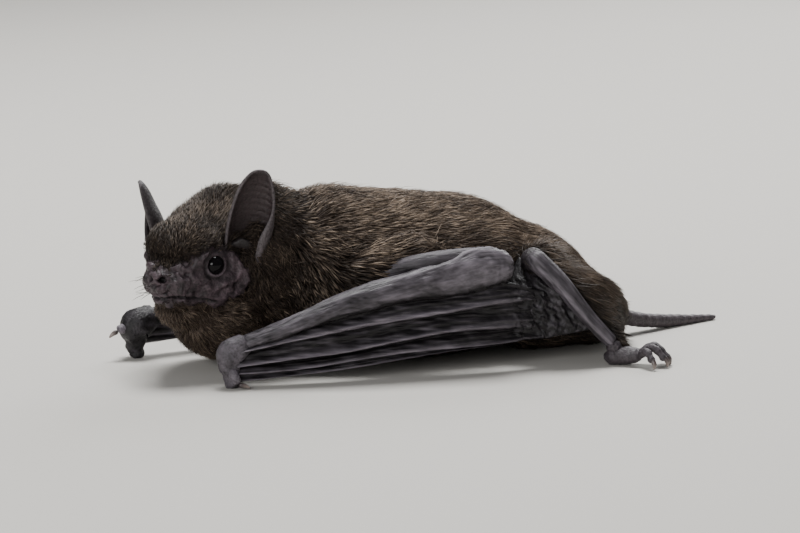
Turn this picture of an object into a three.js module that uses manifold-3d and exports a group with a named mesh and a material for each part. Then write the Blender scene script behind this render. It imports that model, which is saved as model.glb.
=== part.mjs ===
// A small vesper bat, life size, crouched on its belly with its wings folded and its head turned to its left.
// Millimetres, +Z up. The bat faces -X, its left side is -Y, and the origin is on the floor under its belly.
// Each solid reaches out to the tips of the coat; the parts of the body are cut from each other by thin gaps.

import * as THREE from "three";
import { ParametricGeometry } from "three/addons/geometries/ParametricGeometry.js";
import { mergeVertices } from "three/addons/utils/BufferGeometryUtils.js";
import Module from "manifold-3d";

const wasm = await Module();
wasm.setup();

// ---------------------------------------------------------------- driving dimensions, mm and degrees

const GAP = 0.3; // between neighbouring parts of the body
const FINE_GAP = 0.12; // round the smallest parts: claws, toes and eyes
const BLEND = 0.5; // softness with which the rounded masses of the body run together
const SKIN_THICK = 0.6; // wing and tail membranes, folded double

const HEAD_AT = [-19.8, -2.0, 12.0];
const HEAD_YAW = 42; // the head turns to the bat's left
const HEAD_PITCH = -8; // and the nose drops
const EYE_RADIUS = 0.98;
const EYE_AT = [-3.35, 3.3, -0.45]; // in the head's frame; the other eye mirrors it
const NOSTRIL_AT = [-8.5, 1.1, -0.72];
const EAR_LENGTH = 10.4;
const EAR_SUNK = 1.6; // how much of that is inside the fur
const EAR_HALF_WIDTH = 2.3;
const EAR_CUP = 1.5; // depth of the ear's hollow
const EAR_THICK = 0.55;
// Each ear stands on its root, leans by (backwards, outwards) degrees and opens that far to the side of the nose.
const EARS = {
  left: { side: -1, root: [0.0, 4.9, -0.1], back: 1, splay: 16, turn: 48 },
  right: { side: 1, root: [-0.2, 5.0, -1.5], back: -15, splay: 2, turn: 60 },
};

const UPPER_ARM_RADIUS = 0.95;
const FINGER_RADIUS = 0.42;
const THUMB_RADIUS = 0.5;
const SHIN_RADIUS = 0.95;
const TOE_RADIUS = 0.36;
const CLAW_RADIUS = 0.33;
const TAIL_RADIUS = 0.85;

// ---------------------------------------------------------------- vectors and interpolation

const vector = ([x, y, z]) => new THREE.Vector3(x, y, z);
const radians = THREE.MathUtils.degToRad;
const flip = ([x, y, z], side) => [x, side * y, z];
const mix = (a, b, t) => a + (b - a) * t;

// Runs a smooth curve through values given at equal steps.
function through(values) {
  return new THREE.CatmullRomCurve3(values.map(vector), false, "catmullrom");
}

// ---------------------------------------------------------------- solids

// The closed solid that a geometry bounds, with its shared vertices merged and its faces pointing out.
function solidOf(geometry) {
  const bare = new THREE.BufferGeometry();
  bare.setAttribute("position", geometry.getAttribute("position"));
  bare.setIndex(geometry.index);
  const merged = mergeVertices(bare, 1e-4);
  const corners = merged.index.array;
  const build = (order) => {
    const faces = [];
    for (let i = 0; i < corners.length; i += 3) {
      const face = order.map((k) => corners[i + k]);
      if (new Set(face).size === 3) faces.push(...face);
    }
    return new wasm.Manifold(
      new wasm.Mesh({
        numProp: 3,
        vertProperties: merged.getAttribute("position").array,
        triVerts: new Uint32Array(faces),
      }),
    );
  };
  const solid = build([0, 1, 2]);
  return solid.volume() < 0 ? build([0, 2, 1]) : solid;
}

// A named mesh of the largest body of a solid.
function part(name, solid, colour, roughness = 0.7) {
  const bodies = solid.simplify(0.01).decompose();
  const main = bodies.reduce((a, b) => (b.volume() > a.volume() ? b : a));
  const { vertProperties, triVerts, numProp } = main.getMesh();
  const points = new Float32Array((vertProperties.length / numProp) * 3);
  for (let i = 0; i < points.length / 3; i++)
    points.set(vertProperties.subarray(i * numProp, i * numProp + 3), i * 3);
  const geometry = new THREE.BufferGeometry();
  geometry.setAttribute("position", new THREE.BufferAttribute(points, 3));
  geometry.setIndex(new THREE.BufferAttribute(triVerts, 1));
  geometry.computeVertexNormals();
  const material = new THREE.MeshStandardMaterial({
    color: colour,
    roughness,
    metalness: 0,
  });
  const mesh = new THREE.Mesh(geometry, material);
  mesh.name = name;
  return mesh;
}

// Cuts every cutter out of a solid.
const carve = (solid, ...cutters) =>
  cutters.reduce((left, cutter) => left.subtract(cutter), solid);

// The bottom of whatever touches the floor is flat, at z = 0.
const onFloor = (solid) => solid.trimByPlane([0, 0, 1], 0);

// ---------------------------------------------------------------- rounded masses, run together

// An ellipsoid of the given half sizes, in the frame of a matrix.
class Mass {
  constructor(at, half, frame = new THREE.Matrix4(), pitch = 0) {
    const own = new THREE.Matrix4()
      .makeTranslation(...at)
      .multiply(new THREE.Matrix4().makeRotationY(radians(pitch)));
    this.inverse = frame.clone().multiply(own).invert();
    this.half = half;
  }

  // The approximate distance of a point from the surface, negative inside.
  distance(point) {
    const p = point.clone().applyMatrix4(this.inverse).toArray();
    const scaled = Math.hypot(...p.map((c, i) => c / this.half[i]));
    const steep = Math.hypot(...p.map((c, i) => c / this.half[i] ** 2));
    return scaled < 1e-6
      ? -Math.min(...this.half)
      : (scaled * (scaled - 1)) / steep;
  }
}

// The distance from several masses blended into one, with their surface moved out by grow.
function blended(masses, grow = 0) {
  return (point) => {
    const sum = masses.reduce(
      (total, mass) => total + Math.exp(-mass.distance(point) / BLEND),
      0,
    );
    return -BLEND * Math.log(sum) - grow;
  };
}

// The surface of a distance field, found along rays that leave a straight spine: square to it between its ends
// and fanning out round them. A spine with no length gives rays from one point. The pole is the spine's start.
function castFrom(start, end, pole, field, { slices, stacks, far, caps = 0.5 }) {
  const a = vector(start);
  const b = vector(end);
  const axis = vector(pole).normalize();
  const side = new THREE.Vector3(0, 0, 1).cross(axis).normalize();
  const up = axis.clone().cross(side);
  const surface = (u, v, target) => {
    const around = u * 2 * Math.PI;
    const capShare = caps / 2;
    const along = THREE.MathUtils.clamp((v - capShare) / (1 - caps || 1), 0, 1);
    const turn =
      v < 0.5
        ? Math.min(v / capShare, 1) * 90
        : 180 - Math.min((1 - v) / capShare, 1) * 90;
    const out = Math.sin(radians(turn));
    const direction = axis
      .clone()
      .multiplyScalar(Math.cos(radians(turn)))
      .addScaledVector(side, out * Math.cos(around))
      .addScaledVector(up, out * Math.sin(around));
    const root = a.clone().lerp(b, along);
    let reach = far;
    for (let i = 0; i < 60; i++) {
      const left = field(root.clone().addScaledVector(direction, reach));
      if (left < 1e-4) break;
      reach -= left * 0.9;
    }
    target.copy(root).addScaledVector(direction, reach);
  };
  return solidOf(new ParametricGeometry(surface, slices, stacks));
}

// ---------------------------------------------------------------- limbs and membranes

// A limb along a smooth path. Each station has its place, its half width across the path and its half height;
// the ends are rounded, and grow makes the whole of it fatter, for cutting room out of a neighbour.
function limb(stations, { sides = 8, steps = 10, up = [0, 0, 1], grow = 0 } = {}) {
  const path = through(stations.map((s) => s.at));
  const sizes = through(stations.map((s) => [s.wide, s.tall ?? s.wide, 0]));
  const length = path.getLength();
  const first = stations[0].wide / length;
  const last = stations.at(-1).wide / length;
  const upright = vector(up);
  const surface = (u, v, target) => {
    const t = v - 0.09 * Math.sin(2 * Math.PI * v);
    const centre = path.getPoint(t);
    const ahead = path.getTangent(t);
    const across = upright.clone().cross(ahead).normalize();
    const above = ahead.clone().cross(across);
    const size = sizes.getPoint(t);
    const round = (depth) => Math.sqrt(Math.max(0, 1 - (1 - Math.min(1, depth)) ** 2));
    const end = round(t / first) * round((1 - t) / last);
    const angle = 2 * Math.PI * u;
    target
      .copy(centre)
      .addScaledVector(across, (size.x + grow) * end * Math.cos(angle))
      .addScaledVector(above, (size.y + grow) * end * Math.sin(angle));
  };
  return solidOf(new ParametricGeometry(surface, sides, steps));
}

// A membrane stretched between two edges, thinned out at both ends of them. sag(s, t) moves the point at s
// across it and t along it, in millimetres along its normal.
function membrane(edgeA, edgeB, { across = 8, along = 10, thick = SKIN_THICK, sag = () => 0 }) {
  const a = through(edgeA);
  const b = through(edgeB);
  const middle = (s, t) => a.getPoint(t).lerp(b.getPoint(t), s);
  const surface = (u, v, target) => {
    const front = u <= 0.5;
    const s = front ? 2 * u : 2 - 2 * u;
    const width = middle(1, v).sub(middle(0, v));
    const ahead = middle(s, Math.min(1, v + 0.01)).sub(middle(s, Math.max(0, v - 0.01)));
    const normal = width.cross(ahead).normalize();
    const edge = Math.sqrt(Math.max(0, 1 - (2 * s - 1) ** 6));
    const end = Math.sqrt(Math.max(0, 1 - (2 * v - 1) ** 10));
    const lift = sag(s, v) + (front ? 0.5 : -0.5) * thick * edge * end;
    target.copy(middle(s, v)).addScaledVector(normal, lift);
  };
  return solidOf(new ParametricGeometry(surface, 2 * across, along));
}

// ---------------------------------------------------------------- head, neck and trunk

const headFrame = new THREE.Matrix4()
  .makeTranslation(...HEAD_AT)
  .multiply(new THREE.Matrix4().makeRotationZ(radians(HEAD_YAW)))
  .multiply(new THREE.Matrix4().makeRotationY(radians(HEAD_PITCH)));
const inHead = (at) => vector(at).applyMatrix4(headFrame).toArray();
const both = (at, half) => [-1, 1].map((side) => new Mass(flip(at, side), half, headFrame));

const HEAD_MASSES = [
  new Mass([1.1, 0, 0.5], [4.9, 4.7, 4.3], headFrame), // crown and back of the head, in fur
  new Mass([3.0, -0.6, 2.0], [3.2, 3.5, 3.8], headFrame), // raised fur between the ears
  new Mass([-3.0, 0, 1.1], [3.2, 3.7, 2.9], headFrame), // forehead
  ...both([-4.1, 2.0, 1.1], [1.7, 1.8, 1.8]), // brows
  new Mass([-5.5, 0, -1.3], [2.8, 2.0, 1.75], headFrame), // muzzle
  new Mass([-7.9, 0, -0.75], [0.8, 1.2, 0.95], headFrame), // nose pad
  new Mass([-5.6, 0, -3.2], [2.5, 1.5, 1.0], headFrame), // lower jaw
  ...both([-5.9, 1.5, -1.4], [1.9, 1.05, 1.4]), // scent glands that swell the upper lip
  ...both([-2.2, 2.6, -1.9], [2.9, 1.9, 2.4]), // cheeks
  new Mass([-0.5, 0, -3.4], [4.4, 4.2, 2.8], headFrame), // fur under the jaw
  new Mass([-3.5, 0.85, -4.9], [2.95, 2.65, 2.25], headFrame), // and under the chin
];
const NECK_MASSES = [
  new Mass([-13.6, -0.6, 10.9], [6.0, 6.8, 7.4]), // scruff
  new Mass([-18.2, -1.5, 5.3], [4.9, 5.6, 4.6]), // throat and upper breast
];
const TRUNK_MASSES = [
  new Mass([-6.6, 0, 9.4], [9.6, 8.7, 7.9]), // rib cage and shoulders
  new Mass([-0.6, 0, 9.1], [8.4, 8.4, 7.5]), // middle of the back
  new Mass([5.0, 0, 8.0], [10.3, 9.1, 8.0]), // belly and loins
  new Mass([1.0, 0, 6.3], [13.0, 7.4, 6.9]), // underside, flat on the floor
  new Mass([13.5, 0, 6.1], [8.4, 8.0, 6.4], undefined, 24), // rump
  new Mass([19.4, 0, 3.9], [5.4, 6.0, 4.0], undefined, 30), // base of the tail membrane
];
const ALL_MASSES = [...HEAD_MASSES, ...NECK_MASSES, ...TRUNK_MASSES];
const SPINE = [
  [-6, 0, 8.6],
  [18.5, 0, 4.2],
];

// The two thin cuts: one behind the head, square to a direction between its axis and the neck's, one at the nape.
const HEAD_CUT = { at: vector([-15.2, -0.4, 10]), normal: vector([-0.9, -0.36, 0.25]).normalize() };
const NAPE_CUT = { at: vector([-11.6, 0, 9]), normal: vector([-1, -0.08, 0.05]).normalize() };

// Keeps the side of a cut that its normal points to, or the other side with facing -1, less half the gap.
function clip(solid, cut, facing) {
  const normal = cut.normal.clone().multiplyScalar(facing);
  return solid.trimByPlane(normal.toArray(), normal.dot(cut.at) + GAP / 2);
}

const headAxis = inHead([-1, 0, 0]).map((c, i) => c - HEAD_AT[i]);
const headShape = (grow) =>
  castFrom(HEAD_AT, HEAD_AT, headAxis, blended(ALL_MASSES, grow), {
    slices: 30,
    stacks: 24,
    far: 12,
    caps: 1,
  });
const neckBall = castFrom([-13.6, -0.5, 8.8], [-13.6, -0.5, 8.8], [-1, 0, 0], blended(ALL_MASSES), {
  slices: 22,
  stacks: 16,
  far: 13,
  caps: 1,
});
const trunkShape = (grow) =>
  castFrom(...SPINE, [-1, 0, 0], blended([...NECK_MASSES, ...TRUNK_MASSES], grow), {
    slices: 26,
    stacks: 22,
    far: 16,
  });
const trunkRoom = trunkShape(GAP);

const eyeAt = (side) => inHead(flip(EYE_AT, side));
const ball = (radius, at, segments = 12) => {
  const sphere = new THREE.SphereGeometry(radius, segments, segments * 0.75);
  return solidOf(sphere.translate(...at));
};

const nostril = (side) => ball(0.34, inHead(flip(NOSTRIL_AT, side)), 8);

function headSolid() {
  const sockets = [-1, 1].map((side) => ball(EYE_RADIUS + FINE_GAP, eyeAt(side)));
  return carve(clip(headShape(0), HEAD_CUT, 1), ...sockets, nostril(-1), nostril(1));
}

const neckSolid = () => onFloor(clip(clip(neckBall, HEAD_CUT, -1), NAPE_CUT, 1));
const trunkSolid = () => onFloor(clip(trunkShape(0), NAPE_CUT, -1));

// ---------------------------------------------------------------- ears

// A tall cup: each cross-section is an arc whose hollow faces the opening. The shell is closed by running once
// round each section, out along the back and home along the hollow.
function ear({ side, root, back, splay, turn }) {
  const frame = new THREE.Matrix4()
    .makeTranslation(...flip(root, side))
    .multiply(new THREE.Matrix4().makeRotationX(radians(-side * splay)))
    .multiply(new THREE.Matrix4().makeRotationY(radians(back)))
    .multiply(new THREE.Matrix4().makeRotationZ(radians(-side * turn)));
  const surface = (u, v, target) => {
    const behind = u <= 0.5;
    const s = behind ? 4 * u - 1 : 3 - 4 * u; // -1 at the front rim, 1 at the rear rim
    const height = 1 - (1 - v) ** 1.7; // as a share of the ear's length, closer together near its round tip
    const taper = Math.sqrt(Math.max(0, 1 - height ** 4));
    const rim = Math.sqrt(Math.max(0, (1 - s ** 6) * (1 - (2 * v - 1) ** 10)));
    const hollow = EAR_CUP * taper * (1 - s * s) * (1 - 0.4 * height);
    const deep = hollow + (behind ? 0.5 : -0.5) * EAR_THICK * rim;
    target.set(deep, EAR_HALF_WIDTH * taper * s, height * EAR_LENGTH - EAR_SUNK);
    target.applyMatrix4(frame).applyMatrix4(headFrame);
  };
  return solidOf(new ParametricGeometry(surface, 16, 8));
}

// ---------------------------------------------------------------- wings

// Where the joints of each folded wing lie. The right wing reaches further forward than the left.
const WINGS = {
  left: {
    side: -1,
    shoulder: [-9.0, -7.0, 9.0],
    elbow: [8.9, -11.5, 10.3],
    wrist: [-18.6, -11.4, 4.1],
    knob: [
      { at: [-18.1, -11.4, 4.2], wide: 0.85 },
      { at: [-19.7, -11.4, 3.2], wide: 1.35 },
      { at: [-19.7, -11.5, 1.5], wide: 0.9 },
      { at: [-19.5, -11.6, -0.2], wide: 0.75 },
    ],
    thumb: [
      [-19.7, -11.8, 1.9],
      [-19.6, -12.4, 1.2],
      [-19.3, -12.6, 0.5],
    ],
    thumbClaw: [
      [-18.95, -12.85, 0.38],
      [-17.9, -12.95, 0.14],
    ],
    knuckles: [3.3, 2.1, 1.2], // heights at which the fingers leave the wrist
    fingerEnds: [
      [8.9, -11.9, 7.1],
      [10.6, -12.1, 4.5],
      [11.8, -12.0, 3.1],
    ],
  },
  right: {
    side: 1,
    shoulder: [-9.0, 7.0, 9.0],
    elbow: [7.6, 11.7, 10.0],
    wrist: [-23.4, 5.7, 3.9],
    knob: [
      { at: [-23.4, 5.6, 4.1], wide: 1.2 },
      { at: [-25.0, 5.3, 3.2], wide: 1.65 },
      { at: [-25.1, 5.3, 1.6], wide: 1.0 },
      { at: [-25.0, 5.3, -0.2], wide: 0.75 },
    ],
    thumb: [
      [-25.6, 5.0, 3.0],
      [-26.6, 4.6, 3.1],
      [-27.1, 4.5, 2.9],
    ],
    thumbClaw: [
      [-27.35, 4.45, 2.75],
      [-28.2, 4.4, 2.2],
    ],
    knuckles: [3.5, 2.75, 2.0],
    fingerEnds: [
      [7.6, 12.0, 6.9],
      [9.4, 12.2, 4.4],
      [10.8, 12.1, 3.0],
    ],
  },
};

const between = (a, b, t, lift = [0, 0, 0]) => a.map((c, i) => mix(c, b[i], t) + lift[i]);

// Stations of the forearm from elbow to wrist: share of the way, how far it bows out and up from the straight
// line, and its half width and half height. It is deepest just before the elbow, where the upper arm joins it.
const FOREARM = [
  [0.0, 0.0, 0.0, 1.0, 1.3],
  [0.12, 0.1, 0.5, 1.35, 2.25],
  [0.26, 0.3, 0.66, 1.35, 1.95],
  [0.4, 0.45, 0.97, 1.3, 1.5],
  [0.56, 0.55, 1.1, 1.2, 1.36],
  [0.72, 0.55, 0.84, 1.05, 1.06],
  [0.88, 0.35, 0.25, 0.95, 0.9],
  [1.0, 0.0, 0.0, 0.9, 0.8],
];

function forearm({ elbow, wrist, side }, grow = 0) {
  const stations = FOREARM.map(([t, out, up, wide, tall]) => ({
    at: between(elbow, wrist, t, [0, side * out, up]),
    wide,
    tall,
  }));
  return limb(stations, { sides: 10, steps: 14, grow });
}

function upperArm({ shoulder, elbow, side }, grow = 0) {
  const r = UPPER_ARM_RADIUS;
  return limb(
    [
      { at: shoulder, wide: r * 1.2 },
      { at: between(shoulder, elbow, 0.2, [0, side * 2.1, 0.65]), wide: r },
      { at: between(shoulder, elbow, 0.5, [0, side * 1.9, 1.5]), wide: r },
      { at: between(shoulder, elbow, 0.75, [0, side * 0.9, 1.5]), wide: r },
    ],
    { steps: 9, grow },
  );
}

// The wrist is a knob that narrows downwards to the pad the bat leans on.
const wrist = ({ knob }, grow = 0) => limb(knob, { up: [0, 1, 0], sides: 10, steps: 9, grow });

function finger({ wrist: at, knuckles, fingerEnds, side }, index, grow = 0) {
  const start = [at[0] + 0.6, at[1] + side * 0.4, knuckles[index]];
  const end = fingerEnds[index];
  const r = FINGER_RADIUS;
  return limb(
    [
      { at: start, wide: r * 0.75 },
      { at: between(start, end, 0.35, [0, side * 0.5, 0.2]), wide: r },
      { at: between(start, end, 0.7, [0, side * 0.5, 0.35]), wide: r },
      { at: end, wide: r * 0.9 },
    ],
    { sides: 6, steps: 8, grow },
  );
}

// One edge of the folded skin of the hand, on the inner side of the bones of a finger.
const MEMBRANE_INSET = 1.2;
function handEdge({ wrist: at, knuckles, fingerEnds, side }, index, past, lift) {
  const start = [at[0] + 1.6, at[1] + side * (0.4 - MEMBRANE_INSET), knuckles[index] + lift];
  const end = fingerEnds[index].map((c, i) => c + [past, -side * MEMBRANE_INSET, lift][i]);
  return [start, between(start, end, 0.5, [0, side * 0.5, 0.3]), end];
}

function handMembrane(wing) {
  const upper = handEdge(wing, 0, 1.0, 0.1);
  const lower = handEdge(wing, 2, 1.6, -0.35);
  return membrane(upper, lower, { across: 5, along: 7 });
}

function thumb({ thumb: joints }, grow = 0) {
  const sizes = [1.2, 1.0, 0.85];
  return limb(
    joints.map((at, i) => ({ at, wide: THUMB_RADIUS * sizes[i] })),
    { up: [0, 1, 0], sides: 6, steps: 6, grow },
  );
}

// A curved claw that tapers to its tip. It starts clear of the digit that carries it, ahead of its last joint.
function claw(root, tip, hook) {
  const middle = between(root, tip, 0.5, hook);
  const level = vector(tip).sub(vector(root)).cross(new THREE.Vector3(0, 0, 1));
  return limb(
    [
      { at: root, wide: CLAW_RADIUS },
      { at: middle, wide: CLAW_RADIUS * 0.85 },
      { at: tip, wide: CLAW_RADIUS * 0.45 },
    ],
    { up: level.toArray(), sides: 5, steps: 3 },
  );
}

// ---------------------------------------------------------------- legs

const LEGS = {
  left: {
    side: -1,
    hip: [15.5, -4.0, 7.0],
    knee: [10.9, -10.6, 11.1],
    ankle: [19.0, -12.8, 2.1],
    toes: [21.6, -14.2, 1.05],
  },
  right: {
    side: 1,
    hip: [15.5, 4.0, 7.0],
    knee: [10.2, 10.8, 10.6],
    ankle: [18.4, 13.0, 2.1],
    toes: [21.0, 14.4, 1.05],
  },
};

function shin({ knee, ankle, side }, grow = 0) {
  const r = SHIN_RADIUS;
  return limb(
    [
      { at: knee, wide: r * 1.25 },
      { at: between(knee, ankle, 0.3, [0.3, side * 0.4, 0]), wide: r * 1.15 },
      { at: between(knee, ankle, 0.7, [0, side * 0.3, -0.1]), wide: r * 0.9 },
      { at: ankle, wide: r * 0.85 },
    ],
    { steps: 9, grow },
  );
}

function thigh({ hip, knee }, grow = 0) {
  return limb(
    [
      { at: hip, wide: 2.4 },
      { at: between(hip, knee, 0.5), wide: 1.8 },
      { at: between(hip, knee, 0.95), wide: 1.1 },
    ],
    { steps: 7, grow },
  );
}

// From the inner toe to the outer one, which stands out to the side and reaches down on its own.
const TOES = [
  { across: -0.85, turn: -14, reach: 2.1, arch: 0.75 },
  { across: -0.42, turn: -6, reach: 2.35, arch: 0.85 },
  { across: 0.0, turn: 1, reach: 2.4, arch: 0.9 },
  { across: 0.42, turn: 8, reach: 2.25, arch: 0.85 },
  { across: 0.9, turn: 48, reach: 1.7, arch: 0.6 },
];

// The joints of a toe: root, top of its arch and tip; then the root and point of its claw, which starts clear of
// the tip and hooks down to the floor.
function toeJoints({ ankle, toes, side }, { across, turn, reach, arch }) {
  const ahead = vector(toes).sub(vector(ankle)).setZ(0).normalize();
  const outward = new THREE.Vector3(-ahead.y, ahead.x, 0).multiplyScalar(side);
  const turned = ahead.clone().applyAxisAngle(new THREE.Vector3(0, 0, 1), radians(side * turn));
  const root = vector(toes).addScaledVector(outward, across);
  const point = (along, z) => root.clone().addScaledVector(turned, along).setZ(z).toArray();
  const height = toes[2];
  const end = 0.95 * reach;
  return [
    point(-0.25 * reach, height),
    point(0.45 * reach, height + arch),
    point(end, height + 0.1),
    point(end + 0.34, height - 0.1),
    point(end + 0.65, 0.1),
  ];
}

// The sole with its five toes, each arched up over the floor and curled down at its end.
function foot(leg, grow = 0) {
  const { ankle, toes } = leg;
  const sole = limb(
    [
      { at: between(ankle, toes, -0.3, [0, 0, -1.65]), wide: 0.8, tall: 0.75 },
      { at: between(ankle, toes, 0.4, [0, 0, -0.75]), wide: 1.05, tall: 0.9 },
      { at: toes, wide: 1.25, tall: 0.6 },
    ],
    { sides: 8, steps: 6, grow },
  );
  const toe = (shape) => {
    const [root, top, tip] = toeJoints(leg, shape);
    const r = TOE_RADIUS;
    const stations = [
      { at: root, wide: r },
      { at: top, wide: r * 1.05 },
      { at: tip, wide: r * 0.95 },
    ];
    return limb(stations, { sides: 6, steps: 5, grow });
  };
  return TOES.reduce((whole, shape) => whole.add(toe(shape)), sole);
}

function toeClaw(leg, shape) {
  const [, , , root, point] = toeJoints(leg, shape);
  const ahead = vector(root).sub(vector(leg.ankle)).setZ(0).normalize().multiplyScalar(0.15);
  return claw(root, point, ahead.toArray());
}

// ---------------------------------------------------------------- side and tail membranes, tail

// The slack skin between the folded hand and the shin.
function sideMembrane(wing, { knee, ankle, side }) {
  const upper = handEdge(wing, 0, 1.4, 0.6)[2];
  const lower = handEdge(wing, 2, 2.0, -0.5)[2];
  const front = [upper, between(upper, lower, 0.5), lower];
  const back = [
    between(knee, ankle, 0.08, [-0.6, side * 0.2, -0.8]),
    between(knee, ankle, 0.4, [-0.9, 0, -0.8]),
    between(knee, ankle, 0.75, [-0.9, 0, -0.8]),
  ];
  const puckers = (s, t) => 0.3 * Math.sin(2 * Math.PI * s) * Math.sin(Math.PI * t);
  return membrane(front, back, { across: 5, along: 7, sag: puckers });
}

const TAIL_PATH = [
  [23.6, 0.2, 2.6],
  [27.6, 1.5, 1.35],
  [32.5, 3.5, 0.6],
  [38.2, 5.6, 0.28],
];

function tail(grow = 0) {
  const sizes = [1.1, 0.9, 0.75, 0.3];
  return limb(
    TAIL_PATH.map((at, i) => ({ at, wide: TAIL_RADIUS * sizes[i], tall: TAIL_RADIUS * sizes[i] })),
    { sides: 8, steps: 10, grow },
  );
}

// Each half of the tail membrane hangs from the shin, round the rump, to the root of the tail.
function tailMembrane({ knee, ankle, side }) {
  const outer = [
    between(knee, ankle, 0.3, [1.3, 0, 0.2]),
    between(knee, ankle, 0.6, [1.4, 0, 0.2]),
    between(knee, ankle, 0.95, [1.2, 0, -0.2]),
  ];
  const inner = [
    [19.5, side * 5.2, 8.3],
    [23.0, side * 4.4, 5.6],
    [25.2, side * 1.9, 2.3],
  ];
  const bulge = (s, t) => side * 1.3 * Math.sin(Math.PI * s) * Math.sin(Math.PI * t);
  return membrane(outer, inner, { across: 5, along: 6, sag: bulge });
}

// ---------------------------------------------------------------- assembly

const COAT = 0x2c2521;
const FACE = 0x2a2224;
const WING = 0x2b292c;
const CLAW = 0x5a5250;
const EYE = 0x0a090b;

const bat = new THREE.Group();
bat.name = "bat";

const headRoom = headShape(GAP / 2);
bat.add(part("head", headSolid(), COAT, 0.9));
bat.add(part("neck", neckSolid(), COAT, 0.9));

for (const [name, wing] of Object.entries(WINGS)) {
  const leg = LEGS[name];
  const side = wing.side;

  const knob = wrist(wing);
  const knobRoom = wrist(wing, GAP);
  const armRoom = forearm(wing, GAP);
  const shinRoom = shin(leg, GAP);
  const footRoom = foot(leg, GAP);
  const skin = (node, solid) => bat.add(part(`${node}_${name}`, solid, WING));
  const horn = (node, solid) => bat.add(part(`${node}_${name}`, solid, CLAW, 0.4));

  bat.add(part(`ear_${name}`, carve(ear(EARS[name]), headRoom), FACE));
  bat.add(part(`eye_${name}`, ball(EYE_RADIUS, eyeAt(side)), EYE, 0.08));

  skin("upper_arm", carve(upperArm(wing), armRoom, trunkRoom));
  skin("forearm", carve(forearm(wing), knobRoom));
  skin("wrist", onFloor(knob));
  skin("thumb", onFloor(carve(thumb(wing), knobRoom)));
  horn("thumb_claw", claw(...wing.thumbClaw, [0, 0, 0.08]));
  ["5", "4", "3"].forEach((digit, i) => {
    skin(`finger_${digit}`, carve(finger(wing, i), knobRoom, armRoom));
  });
  skin("hand_membrane", carve(handMembrane(wing), knobRoom, armRoom, trunkRoom));
  skin("side_membrane", carve(sideMembrane(wing, leg), armRoom, shinRoom, trunkRoom));

  skin("thigh", carve(thigh(leg), shinRoom, trunkRoom, armRoom));
  skin("shin", carve(shin(leg), armRoom));
  skin("foot", onFloor(carve(foot(leg), shinRoom)));
  TOES.forEach((shape, i) => {
    horn(`claw_${i + 1}`, toeClaw(leg, shape));
  });
  skin("tail_membrane", carve(tailMembrane(leg), shinRoom, footRoom, trunkRoom, tail(GAP)));
}

const arms = Object.values(WINGS).map((wing) => forearm(wing, GAP));
bat.add(part("trunk", carve(trunkSolid(), ...arms), COAT, 0.9));
bat.add(part("tail", onFloor(carve(tail(), trunkRoom)), WING));

export default bat;
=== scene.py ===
"""A small vesper bat crouched on its belly: one skin from nose to tail tip, a coat of tufts over it, eyes, claws
and whiskers."""

import math

import bpy
import numpy as np
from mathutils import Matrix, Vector


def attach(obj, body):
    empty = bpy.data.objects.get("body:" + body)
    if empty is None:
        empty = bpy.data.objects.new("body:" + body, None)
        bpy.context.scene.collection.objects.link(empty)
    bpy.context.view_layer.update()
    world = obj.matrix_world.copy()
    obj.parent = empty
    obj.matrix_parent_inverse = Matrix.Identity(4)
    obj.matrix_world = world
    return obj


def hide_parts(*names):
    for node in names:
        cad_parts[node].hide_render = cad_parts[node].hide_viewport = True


bl_info = {
    "name": "Small vesper bat",
    "version": (1, 0, 0),
    "blender": (4, 5, 0),
    "location": "3D View > Sidebar > Bat",
    "description": "Builds the skin, coat, eyes and claws of a small bat, and a stage to show it on",
    "category": "Object",
}

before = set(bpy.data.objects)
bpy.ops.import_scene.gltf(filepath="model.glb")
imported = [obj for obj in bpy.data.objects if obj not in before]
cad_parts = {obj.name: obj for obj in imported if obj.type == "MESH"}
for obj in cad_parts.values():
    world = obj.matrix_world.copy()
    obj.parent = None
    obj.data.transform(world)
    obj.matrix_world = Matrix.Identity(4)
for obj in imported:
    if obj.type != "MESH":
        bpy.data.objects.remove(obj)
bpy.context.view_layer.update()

MM = 0.001

# ---------------------------------------------------------------- the body's masses, millimetres and degrees

HEAD_AT = np.array([-19.8, -2.0, 12.0])
HEAD_YAW = 42.0
HEAD_PITCH = -8.0
BLEND = 0.5  # how far the masses run into one another

# Each mass is an ellipsoid (centre, half sizes, pitch) that reaches to the coat's tips. The head's are in its own
# frame: -X to the nose, -Y to its left.
HEAD_MASSES = [
    ((1.1, 0, 0.5), (4.9, 4.7, 4.3), 0),  # crown and back of the head
    ((3.0, -0.6, 2.0), (3.2, 3.5, 3.8), 0),  # raised fur between the ears
    ((-3.0, 0, 1.1), (3.2, 3.7, 2.9), 0),  # forehead
    ((-4.1, 2.0, 1.1), (1.7, 1.8, 1.8), 0),  # brows
    ((-4.1, -2.0, 1.1), (1.7, 1.8, 1.8), 0),
    ((-5.5, 0, -1.3), (2.8, 2.0, 1.75), 0),  # muzzle
    ((-7.9, 0, -0.75), (0.8, 1.2, 0.95), 0),  # nose pad
    ((-5.6, 0, -3.2), (2.5, 1.5, 1.0), 0),  # lower jaw
    ((-5.9, 1.5, -1.4), (1.9, 1.05, 1.4), 0),  # scent glands that swell the upper lip
    ((-5.9, -1.5, -1.4), (1.9, 1.05, 1.4), 0),
    ((-2.2, 2.6, -1.9), (2.9, 1.9, 2.4), 0),  # cheeks
    ((-2.2, -2.6, -1.9), (2.9, 1.9, 2.4), 0),
    ((-0.5, 0, -3.4), (4.4, 4.2, 2.8), 0),  # fur under the jaw
    ((-3.5, 0.85, -4.9), (2.95, 2.65, 2.25), 0),  # and under the chin
]
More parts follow.
